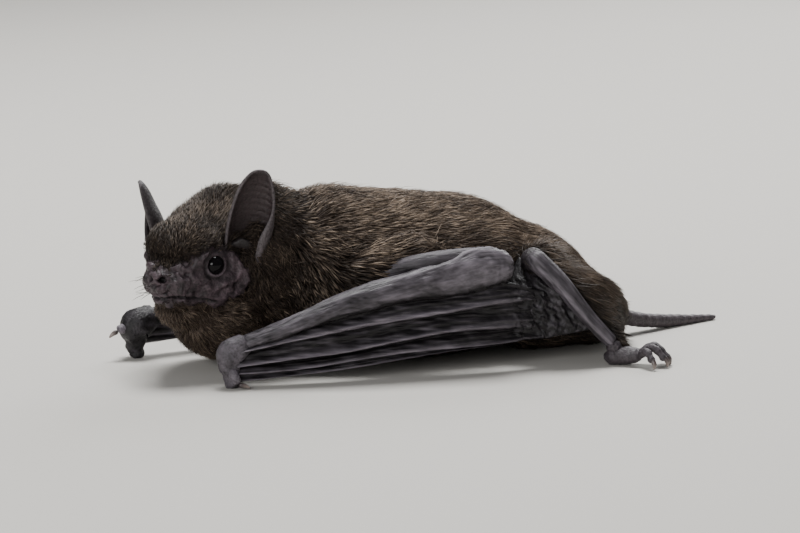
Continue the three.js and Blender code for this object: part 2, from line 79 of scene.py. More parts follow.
BODY_MASSES = [
    ((-13.6, -0.6, 10.9), (6.0, 6.8, 7.4), 0),  # scruff
    ((-18.2, -1.5, 5.3), (4.9, 5.6, 4.6), 0),  # throat and upper breast
    ((-6.6, 0, 9.4), (9.6, 8.7, 7.9), 0),  # rib cage and shoulders
    ((-0.6, 0, 9.1), (8.4, 8.4, 7.5), 0),  # middle of the back
    ((5.0, 0, 8.0), (10.3, 9.1, 8.0), 0),  # belly and loins
    ((1.0, 0, 6.3), (13.0, 7.4, 6.9), 0),  # underside
    ((13.5, 0, 6.1), (8.4, 8.0, 6.4), 24),  # rump
    ((19.4, 0, 3.9), (5.4, 6.0, 4.0), 30),  # base of the tail membrane
]
ARM_FUR = [((-3.0, y, 10.6), (5.6, 2.6, 2.6), -14) for y in (-7.9, 7.9)]  # fur that grows over the upper arms

EYE_AT = (-3.35, 3.3, -0.45)  # in the head's frame, mirrored for the left eye
EYE_RADIUS = 1.01
EYE_OPENING = 0.91  # radius of the opening between the lids, as a share of the eye's
NOSTRIL_AT = (-8.55, 1.15, -0.72)
NOSTRIL_AXIS = (-0.5, 0.86, 0.05)

# ---------------------------------------------------------------- small mathematics on whole arrays


def unit(v):
    """v over its own length, along the last axis."""
    return v / np.maximum(np.linalg.norm(v, axis=-1, keepdims=True), 1e-9)


def smooth(low, high, x):
    """0 below low, 1 above high, and 3t^2 - 2t^3 between them."""
    t = np.clip((np.asarray(x, float) - low) / (high - low), 0, 1)
    return t * t * (3 - 2 * t)


def bump(x, width):
    """exp(-(x / width)^2): a rounded ridge where x is near zero."""
    return np.exp(-((x / width) ** 2))


def turned_y(degrees):
    """Turn about Y, as a matrix for column vectors."""
    c, s = math.cos(math.radians(degrees)), math.sin(math.radians(degrees))
    return np.array([[c, 0, s], [0, 1, 0], [-s, 0, c]])


def turned_x(degrees):
    """Turn about X, as a matrix for column vectors."""
    c, s = math.cos(math.radians(degrees)), math.sin(math.radians(degrees))
    return np.array([[1, 0, 0], [0, c, -s], [0, s, c]])


def turned_z(degrees):
    """Turn about Z, as a matrix for column vectors."""
    c, s = math.cos(math.radians(degrees)), math.sin(math.radians(degrees))
    return np.array([[c, -s, 0], [s, c, 0], [0, 0, 1]])


HEAD_TURN = turned_z(HEAD_YAW) @ turned_y(HEAD_PITCH)


def to_head(points):
    """Points of the world in the head's frame."""
    return (points - HEAD_AT) @ HEAD_TURN


def from_head(points):
    """Points of the head's frame in the world."""
    return np.asarray(points, float) @ HEAD_TURN.T + HEAD_AT


def through(points):
    """A Catmull-Rom curve through points at equal steps of its parameter, as a function of 0..1."""
    p = np.asarray(points, float)
    p = np.vstack([2 * p[0] - p[1], p, 2 * p[-1] - p[-2]])

    def at(t):
        s = np.clip(np.asarray(t, float), 0, 1) * (len(p) - 3)
        i = np.minimum(s.astype(int), len(p) - 4)
        w = (s - i)[..., None]
        a, b, c, d = p[i], p[i + 1], p[i + 2], p[i + 3]
        m, n = (c - a) / 2, (d - b) / 2
        w2, w3 = w * w, w * w * w
        return (2 * w3 - 3 * w2 + 1) * b + (w3 - 2 * w2 + w) * m + (3 * w2 - 2 * w3) * c + (w3 - w2) * n

    return at


def ripple(points, size, seed, waves=7):
    """Smooth noise near -1..1 with features about size across: a sum of sine waves in seeded directions."""
    rng = np.random.default_rng(seed)
    total = np.zeros(points.shape[:-1])
    for _ in range(waves):
        along = unit(rng.normal(size=3)) * (2 * math.pi / size) * rng.uniform(0.6, 1.5)
        total += np.sin(points @ along + rng.uniform(0, 2 * math.pi))
    return total / math.sqrt(waves)


def placed(masses, turn=np.eye(3), at=np.zeros(3)):
    """The masses with world centres and turns: (centre, half sizes, matrix)."""
    return [
        (turn @ np.array(c, float) + at, np.array(h, float), turn @ turned_y(p)) for c, h, p in masses
    ]


ALL_MASSES = placed(HEAD_MASSES, HEAD_TURN, HEAD_AT) + placed(BODY_MASSES) + placed(ARM_FUR)


def coat_field(points):
    """Distance from the tips of the coat: ellipsoids' distances d run together as -b ln(sum exp(-d / b))."""
    flat = points.reshape(-1, 3)
    total = np.zeros(len(flat))
    for centre, half, turn in ALL_MASSES:
        q = (flat - centre) @ turn
        radii = np.linalg.norm(q / half, axis=1)
        steep = np.linalg.norm(q / half**2, axis=1)
        total += np.exp(-radii * (radii - 1) / np.maximum(steep, 1e-6) / BLEND)
    return (-BLEND * np.log(np.maximum(total, 1e-300))).reshape(points.shape[:-1])


# ---------------------------------------------------------------- where the coat is, and how it lies

ROOT_DEPTH = 0.12  # how far a tuft's root goes into the skin

# Spheres of bare face in the head's frame: centre, radius. The second of a pair is mirrored in code.
BARE_MIDDLE = [((-8.0, 0, -1.5), 1.55), ((-6.6, 0, -2.6), 1.3)]
BARE_PAIRS = [
    ((-6.6, 1.7, -1.5), 1.7),
    ((-5.3, 2.0, -2.6), 1.5),
    ((-4.2, 3.2, -0.6), 1.75),
    ((-2.6, 4.0, -1.0), 1.7),
    ((-1.9, 4.4, -2.3), 1.6),
    ((-3.4, 3.4, -3.0), 1.4),
]


def furred(points):
    """0 on the bare face and 1 in the full coat, from the distance to the nearest bare sphere."""
    q = to_head(points)
    spheres = list(BARE_MIDDLE)
    for (x, y, z), r in BARE_PAIRS:
        spheres += [((x, y, z), r), ((x, -y, z), r)]
    d = np.min([np.linalg.norm(q - np.array(c), axis=-1) - r for c, r in spheres], axis=0)
    return smooth(-0.1, 1.1, d + 0.12 * ripple(q, 1.2, 3))


def coat_depth(points):
    """Millimetres from the skin up to the coat's tips: by place along the body, and almost none on the face."""
    places, depths = [-28, -20, -14, -8, 8, 16, 21, 25], [0.8, 1.0, 1.45, 1.4, 1.25, 1.0, 0.6, 0.3]
    full = np.interp(points[..., 0], places, depths)
    return 0.05 + full * furred(points)


def coat_length(points):
    """Millimetres of hair: short and erect on the head and the neck, long and swept back over the trunk, short
    again at the tail's root."""
    places, ratios = [-24, -18, -13, -9, -5, 8, 15, 20, 25], [1.35, 1.45, 1.6, 2.2, 3.0, 3.2, 3.1, 2.8, 2.5]
    ratio = np.interp(points[..., 0], places, ratios)
    throat = smooth(9.5, 6.0, points[..., 2]) * smooth(-12, -15, points[..., 0])
    return ROOT_DEPTH + coat_depth(points) * (ratio + 0.7 * throat)


def coat_lie(points, normals):
    """Unit directions along the skin that the hair takes: back from the nose, down the neck, back along the trunk."""
    q = to_head(points)
    x = points[..., 0]
    up = smooth(-1.5, 1.5, q[..., 2])
    side = np.sign(q[..., 1])
    head = np.stack([0.9 + 0 * x, 0.35 * side * (1 - up), -0.65 + 1.15 * up], -1) @ HEAD_TURN.T
    flank = 1 - np.abs(normals[..., 2])
    neck = np.stack([0.45 + 0 * x, 0 * x, -0.85 * flank - 0.05], -1)
    rise = 0.3 * smooth(-6, 0, x) * smooth(12, 6, x) * flank
    trunk = np.stack([1 + 0 * x, 0 * x, rise - 0.12 - 0.4 * smooth(9, 16, x)], -1)
    on_neck = (smooth(-19, -15.5, x) * smooth(-7.0, -11.0, x))[..., None]
    on_head = smooth(-15.5, -19.0, x)[..., None]
    lie = head * on_head + neck * on_neck * (1 - on_head) + trunk * (1 - on_head) * (1 - on_neck)
    wander = np.stack([ripple(points, 4.0, s) for s in (11, 12, 13)], -1)
    lie = lie + (0.2 + 0.05 * np.maximum(on_head, on_neck)) * wander
    return unit(lie - normals * np.sum(lie * normals, -1, keepdims=True))


# ---------------------------------------------------------------- colours

HEX = {
    "skin_under_fur": "1d1613",
    "face": "3b3135",
    "lid": "6d6269",
    "ear_inside": "33292a",
    "ear_back": "575052",
    # wing and wing_dark are the pale and dark ends that the wings' painted light and shade run between; wing_dark is
    # also a darker tone of thighs, feet and tail membrane.
    "wing": "6a646b",
    "wing_dark": "110e10",
    "leg": "453f43",
    "tail": "463f42",
    "hair_root": "120e0c",
    "hair_middle": "3a2f28",
    "hair_tip": "a18f7d",
    "eye": "0b090b",
    "claw_root": "3a3233",
    "claw_point": "80746e",
    "floor": "c9c6c0",
    "sky": "dcdde0",
}


def linear(code):
    """The linear RGB of an sRGB hex colour."""
    c = np.array([int(code[i : i + 2], 16) / 255 for i in (0, 2, 4)])
    return np.where(c <= 0.04045, c / 12.92, ((c + 0.055) / 1.055) ** 2.4)


COLOUR = {name: linear(code) for name, code in HEX.items()}


def tinted(shape, a, b, share):
    """An array of colours that goes from the named colour a to b as share goes from 0 to 1."""
    w = np.broadcast_to(np.asarray(share, float), shape)[..., None]
    return COLOUR[a] * (1 - w) + COLOUR[b] * w


# ---------------------------------------------------------------- surfaces as grids: rings from pole to pole


def cast(start, end, pole, sides, rings, far, field, caps):
    """Points where rays from a straight spine, coming in from far, first meet field = 0. They fan out round the
    spine's ends over the shares caps of the rings, and leave it square to it between them."""
    a, b = np.array(start, float), np.array(end, float)
    axis = unit(np.array(pole, float))
    side = unit(np.cross([0.0, 0.0, 1.0], axis))
    top = np.cross(axis, side)
    v = np.linspace(0, 1, rings)[:, None]
    u = 2 * math.pi * np.arange(sides)[None, :] / sides
    front, back = caps
    along = np.clip((v - front) / (1 - front - back), 0, 1)
    turn = np.where(v < front, v / front, np.where(v > 1 - back, 2 - (1 - v) / back, 1.0)) * math.pi / 2
    rays = (
        np.cos(turn)[..., None] * axis
        + (np.sin(turn) * np.cos(u))[..., None] * side
        + (np.sin(turn) * np.sin(u))[..., None] * top
    ).reshape(-1, 3)
    roots = np.broadcast_to((a + (b - a) * along[..., None]), (rings, sides, 3)).reshape(-1, 3)
    reach = np.full(len(rays), float(far))
    active = np.arange(len(rays))
    for _ in range(60):
        left = field(roots[active] + rays[active] * reach[active, None])
        reach[active] -= 0.9 * np.maximum(left, 0)
        active = active[left > 2e-3]
        if not len(active):
            break
    return (roots + rays * reach[:, None]).reshape(rings, sides, 3)


def normals_of(grid):
    """Unit normals of a closed grid from the cross product of its differences along and round it."""
    down = np.gradient(grid, axis=0)
    across = np.roll(grid, -1, 1) - np.roll(grid, 1, 1)
    n = np.cross(down, across)
    size = np.linalg.norm(n, axis=-1, keepdims=True)
    n = n / np.maximum(size, 1e-9)
    spine = grid.mean(1, keepdims=True)
    facing = np.sum(n * (grid - spine) * size)
    return n if facing > 0 else -n


def limb(stations, rings, sides, up=(0, 0, 1), ends=(True, True)):
    """A tube along a curve through the stations (place, half width, half height), with rounded ends.
    Returns the grid, the share of the way along it, and the angle round it."""
    path = through([s[0] for s in stations])
    size = through([[s[1], s[2] if len(s) > 2 else s[1], 0] for s in stations])
    v = np.linspace(0, 1, rings)
    t = v - 0.09 * np.sin(2 * math.pi * v)
    centre = path(t)
    ahead = unit(path(np.minimum(t + 0.004, 1)) - path(np.maximum(t - 0.004, 0)))
    across = unit(np.cross(np.array(up, float), ahead))
    above = np.cross(ahead, across)
    length = np.sum(np.linalg.norm(np.diff(path(np.linspace(0, 1, 60)), axis=0), axis=1))
    w, h = size(t)[:, 0], size(t)[:, 1]
    first, last = (0.5 * (s[1] + (s[2] if len(s) > 2 else s[1])) / length for s in (stations[0], stations[-1]))
    close = lambda depth: np.sqrt(np.maximum(0, 1 - (1 - np.minimum(1, depth)) ** 2))
    end = close(t / first) * close((1 - t) / last)
    angle = 2 * math.pi * np.arange(sides) / sides
    grid = (
        centre[:, None]
        + across[:, None] * ((w * end)[:, None] * np.cos(angle))[..., None]
        + above[:, None] * ((h * end)[:, None] * np.sin(angle))[..., None]
    )
    return grid, np.broadcast_to(t[:, None], grid.shape[:2]), np.broadcast_to(angle, grid.shape[:2])


def leaf(edge_a, edge_b, rings, half_sides, thick, relief):
    """A thin closed sheet between two curves. s goes across it and t along it; relief(s, t, p) moves both faces
    along its normal, in millimetres. Returns the grid and t."""
    a, b = through(edge_a), through(edge_b)
    v = np.linspace(0, 1, rings)
    t = 0.5 - 0.5 * np.cos(math.pi * v)
    u = np.arange(2 * half_sides) / (2 * half_sides)
    s = np.where(u <= 0.5, 2 * u, 2 - 2 * u)
    face = np.where((u > 0) & (u < 0.5), 1.0, np.where(u > 0.5, -1.0, 0.0))
    middle = a(t)[:, None] + (b(t) - a(t))[:, None] * s[None, :, None]
    width = (b(t) - a(t))[:, None] + 0 * middle
    ahead = np.gradient(middle, axis=0)
    n = unit(np.cross(width, ahead))
    n[0], n[-1] = n[1], n[-2]
    rim_s, rim_t = (np.sqrt(np.maximum(0, 1 - np.abs(2 * x - 1) ** k)) for x, k in ((s, 8), (t, 12)))
    rim = rim_s[None, :] * rim_t[:, None]
    grid = middle + n * (relief(s[None, :], t[:, None], middle) + 0.5 * thick * face[None, :] * rim)[..., None]
    return grid, np.broadcast_to(t[:, None], grid.shape[:2])


def near(side, fine, plain):
    """The finer of two grid sizes for the left side, which carries the folds that show, the plainer for the right."""
    return fine if side < 0 else plain


def lengthwise(grid, angle, stretch=0.15):
    """Where a pattern that follows a limb is read: millimetres along it times stretch, and millimetres round it."""
    spine = grid.mean(1)
    steps = np.linalg.norm(np.diff(spine, axis=0), axis=1)
    along = np.concatenate([[0], np.cumsum(steps)]) * stretch
    radius = np.linalg.norm(grid - spine[:, None], axis=-1).mean()
    return np.stack([along[:, None] + 0 * angle, radius * np.cos(angle), radius * np.sin(angle)], -1)


def over_floor(grid, least=0.0):
    """The grid with everything lower than least raised to it, as flesh flattens on the floor."""
    grid[..., 2] = np.maximum(grid[..., 2], least)
    return grid


def mixed(a, b, t, lift=(0, 0, 0)):
    """The point a share t of the way from a to b, moved by lift."""
    return np.array(a, float) * (1 - t) + np.array(b, float) * t + np.array(lift, float)


# ---------------------------------------------------------------- the skin of the head


# Swellings of the face in the head's frame, mirrored in code: centre, width, height.
GLANDS = [
    ((-7.0, 1.75, 0.05), 0.5, 0.2),  # beside the bridge of the nose
    ((-5.85, 2.75, -1.2), 0.6, 0.2),  # upper lip, towards the eye
    ((-7.6, 1.6, -1.7), 0.8, 0.1),  # beside the nostril
    ((-4.2, 3.0, -3.1), 0.7, 0.12),  # corner of the mouth
]
# Folds of skin: the line they follow, width, height (negative for a groove).
FOLDS = [
    ([(-1.0, 4.9, -0.9), (-1.5, 4.9, -1.9), (-2.4, 4.75, -2.35), (-3.3, 4.4, -2.3), (-4.2, 3.9, -2.8)], 0.26, 0.26),
    ([(-1.7, 4.9, -2.7), (-2.6, 4.7, -3.0), (-3.5, 4.3, -2.95), (-4.3, 3.7, -3.4)], 0.24, -0.2),
    ([(-2.1, 4.5, -0.4), (-2.3, 4.6, -1.4), (-3.2, 4.3, -1.85), (-4.4, 3.7, -1.9), (-5.1, 3.2, -1.5)], 0.15, -0.14),
    ([(-5.0, 3.3, -1.9), (-5.6, 2.8, -2.1), (-6.4, 2.2, -2.2), (-7.2, 1.7, -2.3)], 0.16, -0.1),
    ([(-5.3, 3.1, -0.6), (-5.9, 2.6, -0.4), (-6.6, 2.1, -0.6)], 0.16, -0.14),
]


def eye_axis(side):
    """Centre and outward axis of an eye, in the head's frame. side is -1 for the left one."""
    at = np.array([EYE_AT[0], side * EYE_AT[1], EYE_AT[2]])
    return at, unit(np.array([-0.42, side * 0.9, 0.1]))


def mouth_height(x):
    """Height of the line between the lips in the head's frame: level in front, then falling to the corner."""
    return np.interp(x, [-8.4, -7.4, -5.2, -4.2, -3.2], [-2.68, -2.68, -3.39, -3.84, -4.3])


def nostril_distance(q):
    """Distance from the axis of the nearer nostril, for points in front of the eyes."""
    p = np.stack([q[..., 0], np.abs(q[..., 1]), q[..., 2]], -1) - np.array(NOSTRIL_AT)
    axis = unit(np.array(NOSTRIL_AXIS))
    off = p - (p @ axis)[..., None] * axis
    off = off * np.array([1.0, 1.0, 1.15])
    return np.linalg.norm(off, axis=-1) + 10 * (q[..., 0] > -7.2)


def face_relief(q):
    """Millimetres that the head's skin stands out: glands and warts, folds of the cheek, lips, nose and nostrils."""
    face = 1 - furred(from_head(q))
    x, y, z = q[..., 0], np.abs(q[..., 1]), q[..., 2]
    p = np.stack([x, y, z], -1)
    relief = face * (0.05 * ripple(q, 1.5, 21) + 0.04 * ripple(q, 0.75, 22) + 0.02 * ripple(q, 0.4, 23))
    rng = np.random.default_rng(5)
    for _ in range(50):  # warts on the muzzle and the cheeks
        c = np.array([rng.uniform(-8.2, -3.0), rng.uniform(0.4, 3.8), rng.uniform(-3.2, 0.4)])
        relief += face * 0.08 * bump(np.linalg.norm(p - c, axis=-1), rng.uniform(0.12, 0.26))
    for (cx, cy, cz), wide, high in GLANDS:
        relief += high * bump(np.linalg.norm(p - np.array([cx, cy, cz]), axis=-1), wide)
    for path, wide, high in FOLDS:
        along = through(path)(np.linspace(0, 1, 40))
        away = np.linalg.norm(p[..., None, :] - along, axis=-1).min(-1)
        relief += high * bump(away, wide)
    lips = smooth(-3.2, -4.2, x)
    below = (z - mouth_height(x)) * 0.955
    relief += lips * (-0.26 * bump(below, 0.12) + 0.12 * bump(below - 0.32, 0.25) + 0.06 * bump(below + 0.28, 0.2))
    hole = nostril_distance(q)
    relief += -0.65 * smooth(0.38, 0.18, hole) + 0.14 * bump(hole - 0.48, 0.13)
    relief += 0.32 * bump(y, 0.62) * smooth(-7.4, -8.2, x) * bump(z + 0.65, 0.85)
    return relief


def open_eyes(grid):
    """Draws the skin round each eye into a lid: inside the opening it drops behind the eyeball, at the opening it
    stands in a thin rim against the ball, and it runs out into the face over a millimetre."""
    q = to_head(grid)
    opening = EYE_RADIUS * EYE_OPENING
    for side in (-1, 1):
        centre, axis = eye_axis(side)
        rel = q - centre
        high = rel @ axis
        off = np.linalg.norm(rel - high[..., None] * axis, axis=-1)
        ball = np.sqrt(np.maximum(0, EYE_RADIUS**2 - np.minimum(off, EYE_RADIUS) ** 2))
        rim = math.sqrt(EYE_RADIUS**2 - opening**2) + 0.06
        inside = ball - 0.6 * smooth(opening, opening - 0.2, off)
        lid = np.where(off < opening, inside, rim + 0.04 * bump(off - opening - 0.12, 0.08))
        lid = lid - 0.14 * bump(off - opening - 0.36, 0.1) - 0.35 * smooth(opening + 0.2, opening + 0.9, off)
        share = smooth(opening + 0.9, opening + 0.2, off) * (high > -0.5)
        q = q + axis * ((lid - high) * share)[..., None]
    return from_head(q)


def head_skin():
    """The head as rays from a spine inside it to the coat's field less the coat's depth, then the face's relief."""
    start, end = from_head([-6.4, 0, -1.5]), from_head([1.0, 0, 0.2])
    pole = HEAD_TURN @ np.array([-1.0, 0, 0.0])
    bare = lambda p: coat_field(p) + coat_depth(p)
    grid = cast(start, end, pole, sides=190, rings=140, far=12.0, field=bare, caps=(0.36, 0.26))
    normals = normals_of(grid)
    q = to_head(grid)
    grid = grid + normals * face_relief(q)[..., None]
    grid = open_eyes(grid)
    cover = furred(grid)
    tint = tinted(cover.shape, "face", "skin_under_fur", smooth(0.25, 0.8, cover))
    mottled = smooth(-0.2, 1.2, ripple(q, 1.1, 41))
    tint = tint * (1 - 0.62 * mottled * (1 - cover))[..., None]
    beside_eye = bump(np.abs(q[..., 1]) - 4.2, 1.2) * smooth(-4.4, -3.2, q[..., 0])
    tint = tint * (1 + 0.35 * beside_eye)[..., None]
    opening = EYE_RADIUS * EYE_OPENING
    for side in (-1, 1):
        centre, axis = eye_axis(side)
        rel = q - centre
        high = rel @ axis
        off = np.linalg.norm(rel - high[..., None] * axis, axis=-1)
        ring = bump(off - opening - 0.1, 0.09) * (high > 0) * smooth(0.5, -0.5, rel[..., 2]) * 0.7
        tint = tint * (1 - ring)[..., None] + COLOUR["lid"] * ring[..., None]
        # Painted shade: a darker ring in the groove round the lid.
        socket = bump(off - opening - 0.42, 0.2) * (high > 0)
        tint = tint * (1 - 0.4 * socket)[..., None]
    # Painted shade: the nostrils darkened to a tenth inside their pits.
    tint = tint * (0.1 + 0.9 * smooth(0.22, 0.42, nostril_distance(q)))[..., None]
    # Painted shade: darker along the groove between the lips.
    lips = bump((q[..., 2] - mouth_height(q[..., 0])) * 0.955, 0.12) * smooth(-3.2, -4.2, q[..., 0])
    tint = tint * (1 - 0.75 * lips)[..., None]
    # Painted light and shade on the bare face: lighter where glands, warts and folds stand out, darker in grooves,
    # most strongly on the cheeks.
    cheek_painted_light = smooth(-5.2, -3.6, q[..., 0]) * smooth(-0.9, -1.6, q[..., 2])
    tint = tint * (1 + (1.8 + 2.6 * cheek_painted_light) * np.clip(face_relief(q), -0.25, 0.3) * (1 - cover))[..., None]
    return grid, tint


def ahead_of_neck(points):
    """Millimetres in front of the plane where the head's coat hands over to the neck's."""
    return (points - np.array([-15.2, -0.4, 10.0])) @ unit(np.array([-0.9, -0.36, 0.25]))


def trunk_skin():
    """The neck and trunk as rays from a spine along the body to the coat's field less the coat's depth."""
    bare = lambda p: coat_field(p) + coat_depth(p) + 1.6 * smooth(0.3, 2.5, ahead_of_neck(p))
    spine = (-6, 0, 8.6), (18.5, 0, 4.2)
    grid = over_floor(cast(*spine, (-1, 0, 0), sides=72, rings=64, far=16.0, field=bare, caps=(0.28, 0.24)), 0.12)
    return grid, tinted(grid.shape[:2], "skin_under_fur", "leg", smooth(17, 24, grid[..., 0]))


# ---------------------------------------------------------------- ears

EAR_LENGTH, EAR_SUNK, EAR_HALF_WIDTH, EAR_CUP, EAR_THICK = 10.4, 1.6, 2.3, 1.5, 0.42
EARS = {
    "left": dict(side=-1, root=(0.0, 4.9, -0.1), back=1, splay=16, turn=48),
    "right": dict(side=1, root=(-0.2, 5.0, -1.5), back=-15, splay=2, turn=60),
}


def ear_frame(side, root, back, splay, turn):
    """Matrix and place that carry an upright ear into the world."""
    turned = turned_x(-side * splay) @ turned_y(back) @ turned_z(-side * turn)
    at = np.array([root[0], side * root[1], root[2]])
    return HEAD_TURN @ turned, from_head(at)


def ear_skin(which):
    """A tall cup. The angle a runs from -90 degrees at the inner rim to 90 at the outer one, and further low down,
    where the outer rim rolls in: width = half width x taper x sin a, depth = cup x taper x cos a, with the taper
    sqrt(1 - h^4) of the height h. Its hollow carries cross ridges, and both rims are rounded."""
    side = EARS[which]["side"]
    half, rings = near(side, (26, 76), (22, 60))
    v = np.linspace(0, 1, rings)[:, None]
    u = (np.arange(2 * half) / (2 * half))[None, :]
    s = np.where(u <= 0.5, 4 * u - 1, 3 - 4 * u)
    behind = np.where((u > 0) & (u < 0.5), 1.0, np.where(u > 0.5, -1.0, 0.0))
    h = 1 - (1 - v) ** 1.7
    roll = math.radians(74) * smooth(0.85, 0.3, h) * (1 - 0.35 * smooth(0.2, 0.0, h))
    a = s * math.pi / 2
    a = np.where(a * side > 0, a + side * roll * np.abs(s) ** 2, a)
    taper = np.sqrt(np.maximum(0, 1 - h ** (4 if side < 0 else 2.4))) * (1 - 0.12 * smooth(0.45, 0.0, h))
    rim = np.sqrt(np.maximum(0, (1 - s**8) * (1 - np.abs(2 * v - 1) ** 14)))
    cup = EAR_CUP * taper * (1 - 0.4 * h)
    outer = smooth(-0.2, 0.7, s * side)
    ridges = 0.05 * np.sin(2 * math.pi * (h * 15 + 0.8 * s * s)) ** 3 * smooth(0.97, 0.8, h) * smooth(0.1, 0.25, h)
    ridges = np.where(behind < 0, ridges * (1 - s**6) * (0.35 + outer), 0.02 * np.sin(23 * h + 3 * s))
    shift = 0.5 * behind * EAR_THICK * rim + ridges * rim
    deep = (cup + shift) * np.cos(a)
    wide = (EAR_HALF_WIDTH * taper * (1 - 0.1 * (s * side > 0)) + shift) * np.sin(a)
    tall = h * EAR_LENGTH - EAR_SUNK
    turn, at = ear_frame(**EARS[which])
    grid = np.stack([deep, wide, tall + 0 * s], -1) @ turn.T + at
    edge = smooth(0.8, 0.98, np.abs(s)) * smooth(0.1, 0.3, h) + smooth(0.94, 0.99, h)
    inside = (behind < 0) * 1.0
    # The inside takes the darker colour and the back the paler, and the rims are paler. On the inside, the ridges'
    # crests are painted highlights and the grooves between them painted shade.
    pale = np.clip((1 - inside) + 0.6 * edge + 4 * inside * ridges, 0, 1)
    tint = tinted(grid.shape[:2], "ear_inside", "ear_back", pale)
    # Painted shade: the right ear, the far one, darkened as a whole, and the base of its hollow darker still.
    ear_side_painted_shade = 1.0 if side < 0 else 0.62
    ear_painted_shade = ear_side_painted_shade - 0.6 * ear_side_painted_shade * inside * smooth(0.6, 0.15, h) * smooth(1.0, 0.3, np.abs(s))
    return grid, tint * ear_painted_shade[..., None] * 0.8


def tragus_skin(which):
    """The low lobe that closes the front of the ear's opening, a short leaf curved forwards."""
    turn, at = ear_frame(**EARS[which])
    side = EARS[which]["side"]
    inner = np.array([[0.5, -side * 1.9, 0.6], [0.3, -side * 1.5, 1.0], [0.3, -side * 0.8, 1.5]])
    outer = np.array([[-0.2, side * 1.3, 0.5], [-0.2, side * 0.9, 0.8], [0.0, side * 0.1, 1.4]])
    carry = lambda p: p @ turn.T + at
    grid, t = leaf(carry(inner), carry(outer), 20, 8, 0.3, lambda s, t, p: 0.15 * np.sin(math.pi * s) + 0 * t)
    # Painted shade: the lobe darkened to three tenths of the ear's colours, as it stands in the shade of the ear's
    # opening. Its upper rim is a little paler.
    return grid, tinted(grid.shape[:2], "ear_inside", "ear_back", 0.25 * smooth(0.8, 1.0, t)) * 0.3


# ---------------------------------------------------------------- wings

WINGS = {
    "left": dict(
        side=-1,
        shoulder=(-9.0, -7.0, 9.0),
        elbow=(8.9, -11.5, 10.3),
        wrist=(-18.6, -11.4, 4.1),
        knob=[
            ((-17.6, -11.4, 4.45), 0.9),
            ((-19.7, -11.4, 3.2), 1.35),
            ((-19.7, -11.5, 1.5), 0.9),
            ((-19.5, -11.6, -0.2), 0.75),
        ],
        thumb=[(-19.7, -11.8, 1.9), (-19.6, -12.4, 1.2), (-19.3, -12.6, 0.5)],
        claw=[(-19.25, -12.65, 0.42), (-18.2, -12.9, 0.12)],
        hand=[(-19.3, -11.7, 0.0), (-3.0, -12.1, 0.0), (12.0, -12.0, 0.0)],
    ),
    "right": dict(
        side=1,
        shoulder=(-9.0, 7.0, 9.0),
        elbow=(7.6, 11.7, 10.0),
        wrist=(-23.4, 5.7, 3.9),
        knob=[
            ((-22.4, 5.9, 4.2), 1.0),
            ((-25.0, 5.3, 3.2), 1.65),
            ((-25.1, 5.3, 1.6), 1.0),
            ((-25.0, 5.3, -0.2), 0.75),
        ],
        thumb=[(-25.6, 5.0, 3.0), (-26.6, 4.6, 3.1), (-27.1, 4.5, 2.9)],
        claw=[(-27.1, 4.48, 2.86), (-28.0, 4.4, 2.3)],
        hand=[(-24.4, 5.6, 0.6), (-7.0, 9.6, 0.2), (11.0, 12.1, 0.0)],
    ),
}

UPPER_ARM_RADIUS, SHIN_RADIUS = 0.95, 0.95
MEMBRANE = 0.45  # thickness of the wings' and the tail's membranes

# Stations of the forearm from elbow to wrist: share of the way, how far it bows out and up, half width, half height.
FOREARM = [
    (0.0, 0.0, 0.0, 1.0, 1.3),
    (0.12, 0.1, 0.5, 1.35, 2.25),
    (0.26, 0.3, 0.66, 1.35, 1.95),
    (0.4, 0.45, 0.97, 1.3, 1.5),
    (0.56, 0.55, 1.1, 1.2, 1.36),
    (0.72, 0.55, 0.84, 1.05, 1.06),
    (0.88, 0.35, 0.25, 0.95, 0.9),
    (1.0, 0.0, 0.0, 0.9, 0.8),
]

# Heights over the floor of the lines that the folded hand's skin follows, from its top edge, which the forearm
# hides, over the fifth, fourth and third fingers to its lower edge, at seven even shares of the way to the elbow.
HAND_LINES = np.array(
    [
        (3.9, 5.7, 7.1, 7.9, 8.5, 8.9, 7.6),
        (3.5, 4.35, 5.05, 5.8, 6.45, 7.0, 6.7),
        (2.1, 2.6, 3.05, 3.85, 4.35, 4.3, 4.25),
        (1.4, 1.5, 2.0, 2.45, 2.62, 2.8, 2.95),
        (0.55, 0.9, 1.25, 1.85, 2.35, 2.62, 2.85),
    ]
)


# Ridges of the folded hand: the line they follow, height, width above and width below.
HAND_RIDGES = ((1, 0.7, 0.3, 0.1), (2, 0.65, 0.3, 0.13), (3, 0.5, 0.32, 0.16), (4, 0.35, 0.35, 0.2))


def wing_tint(grid, light, seed):
    """Wing skin from dark to pale by light, the painted light and shade that each caller works out, mottled over two
    millimetres.
    """
    share = np.clip(light + 0.07 * ripple(grid, 2.2, seed) + 0.04 * ripple(grid, 0.7, seed + 1), 0, 1)
    return tinted(grid.shape[:2], "wing_dark", "wing", share)


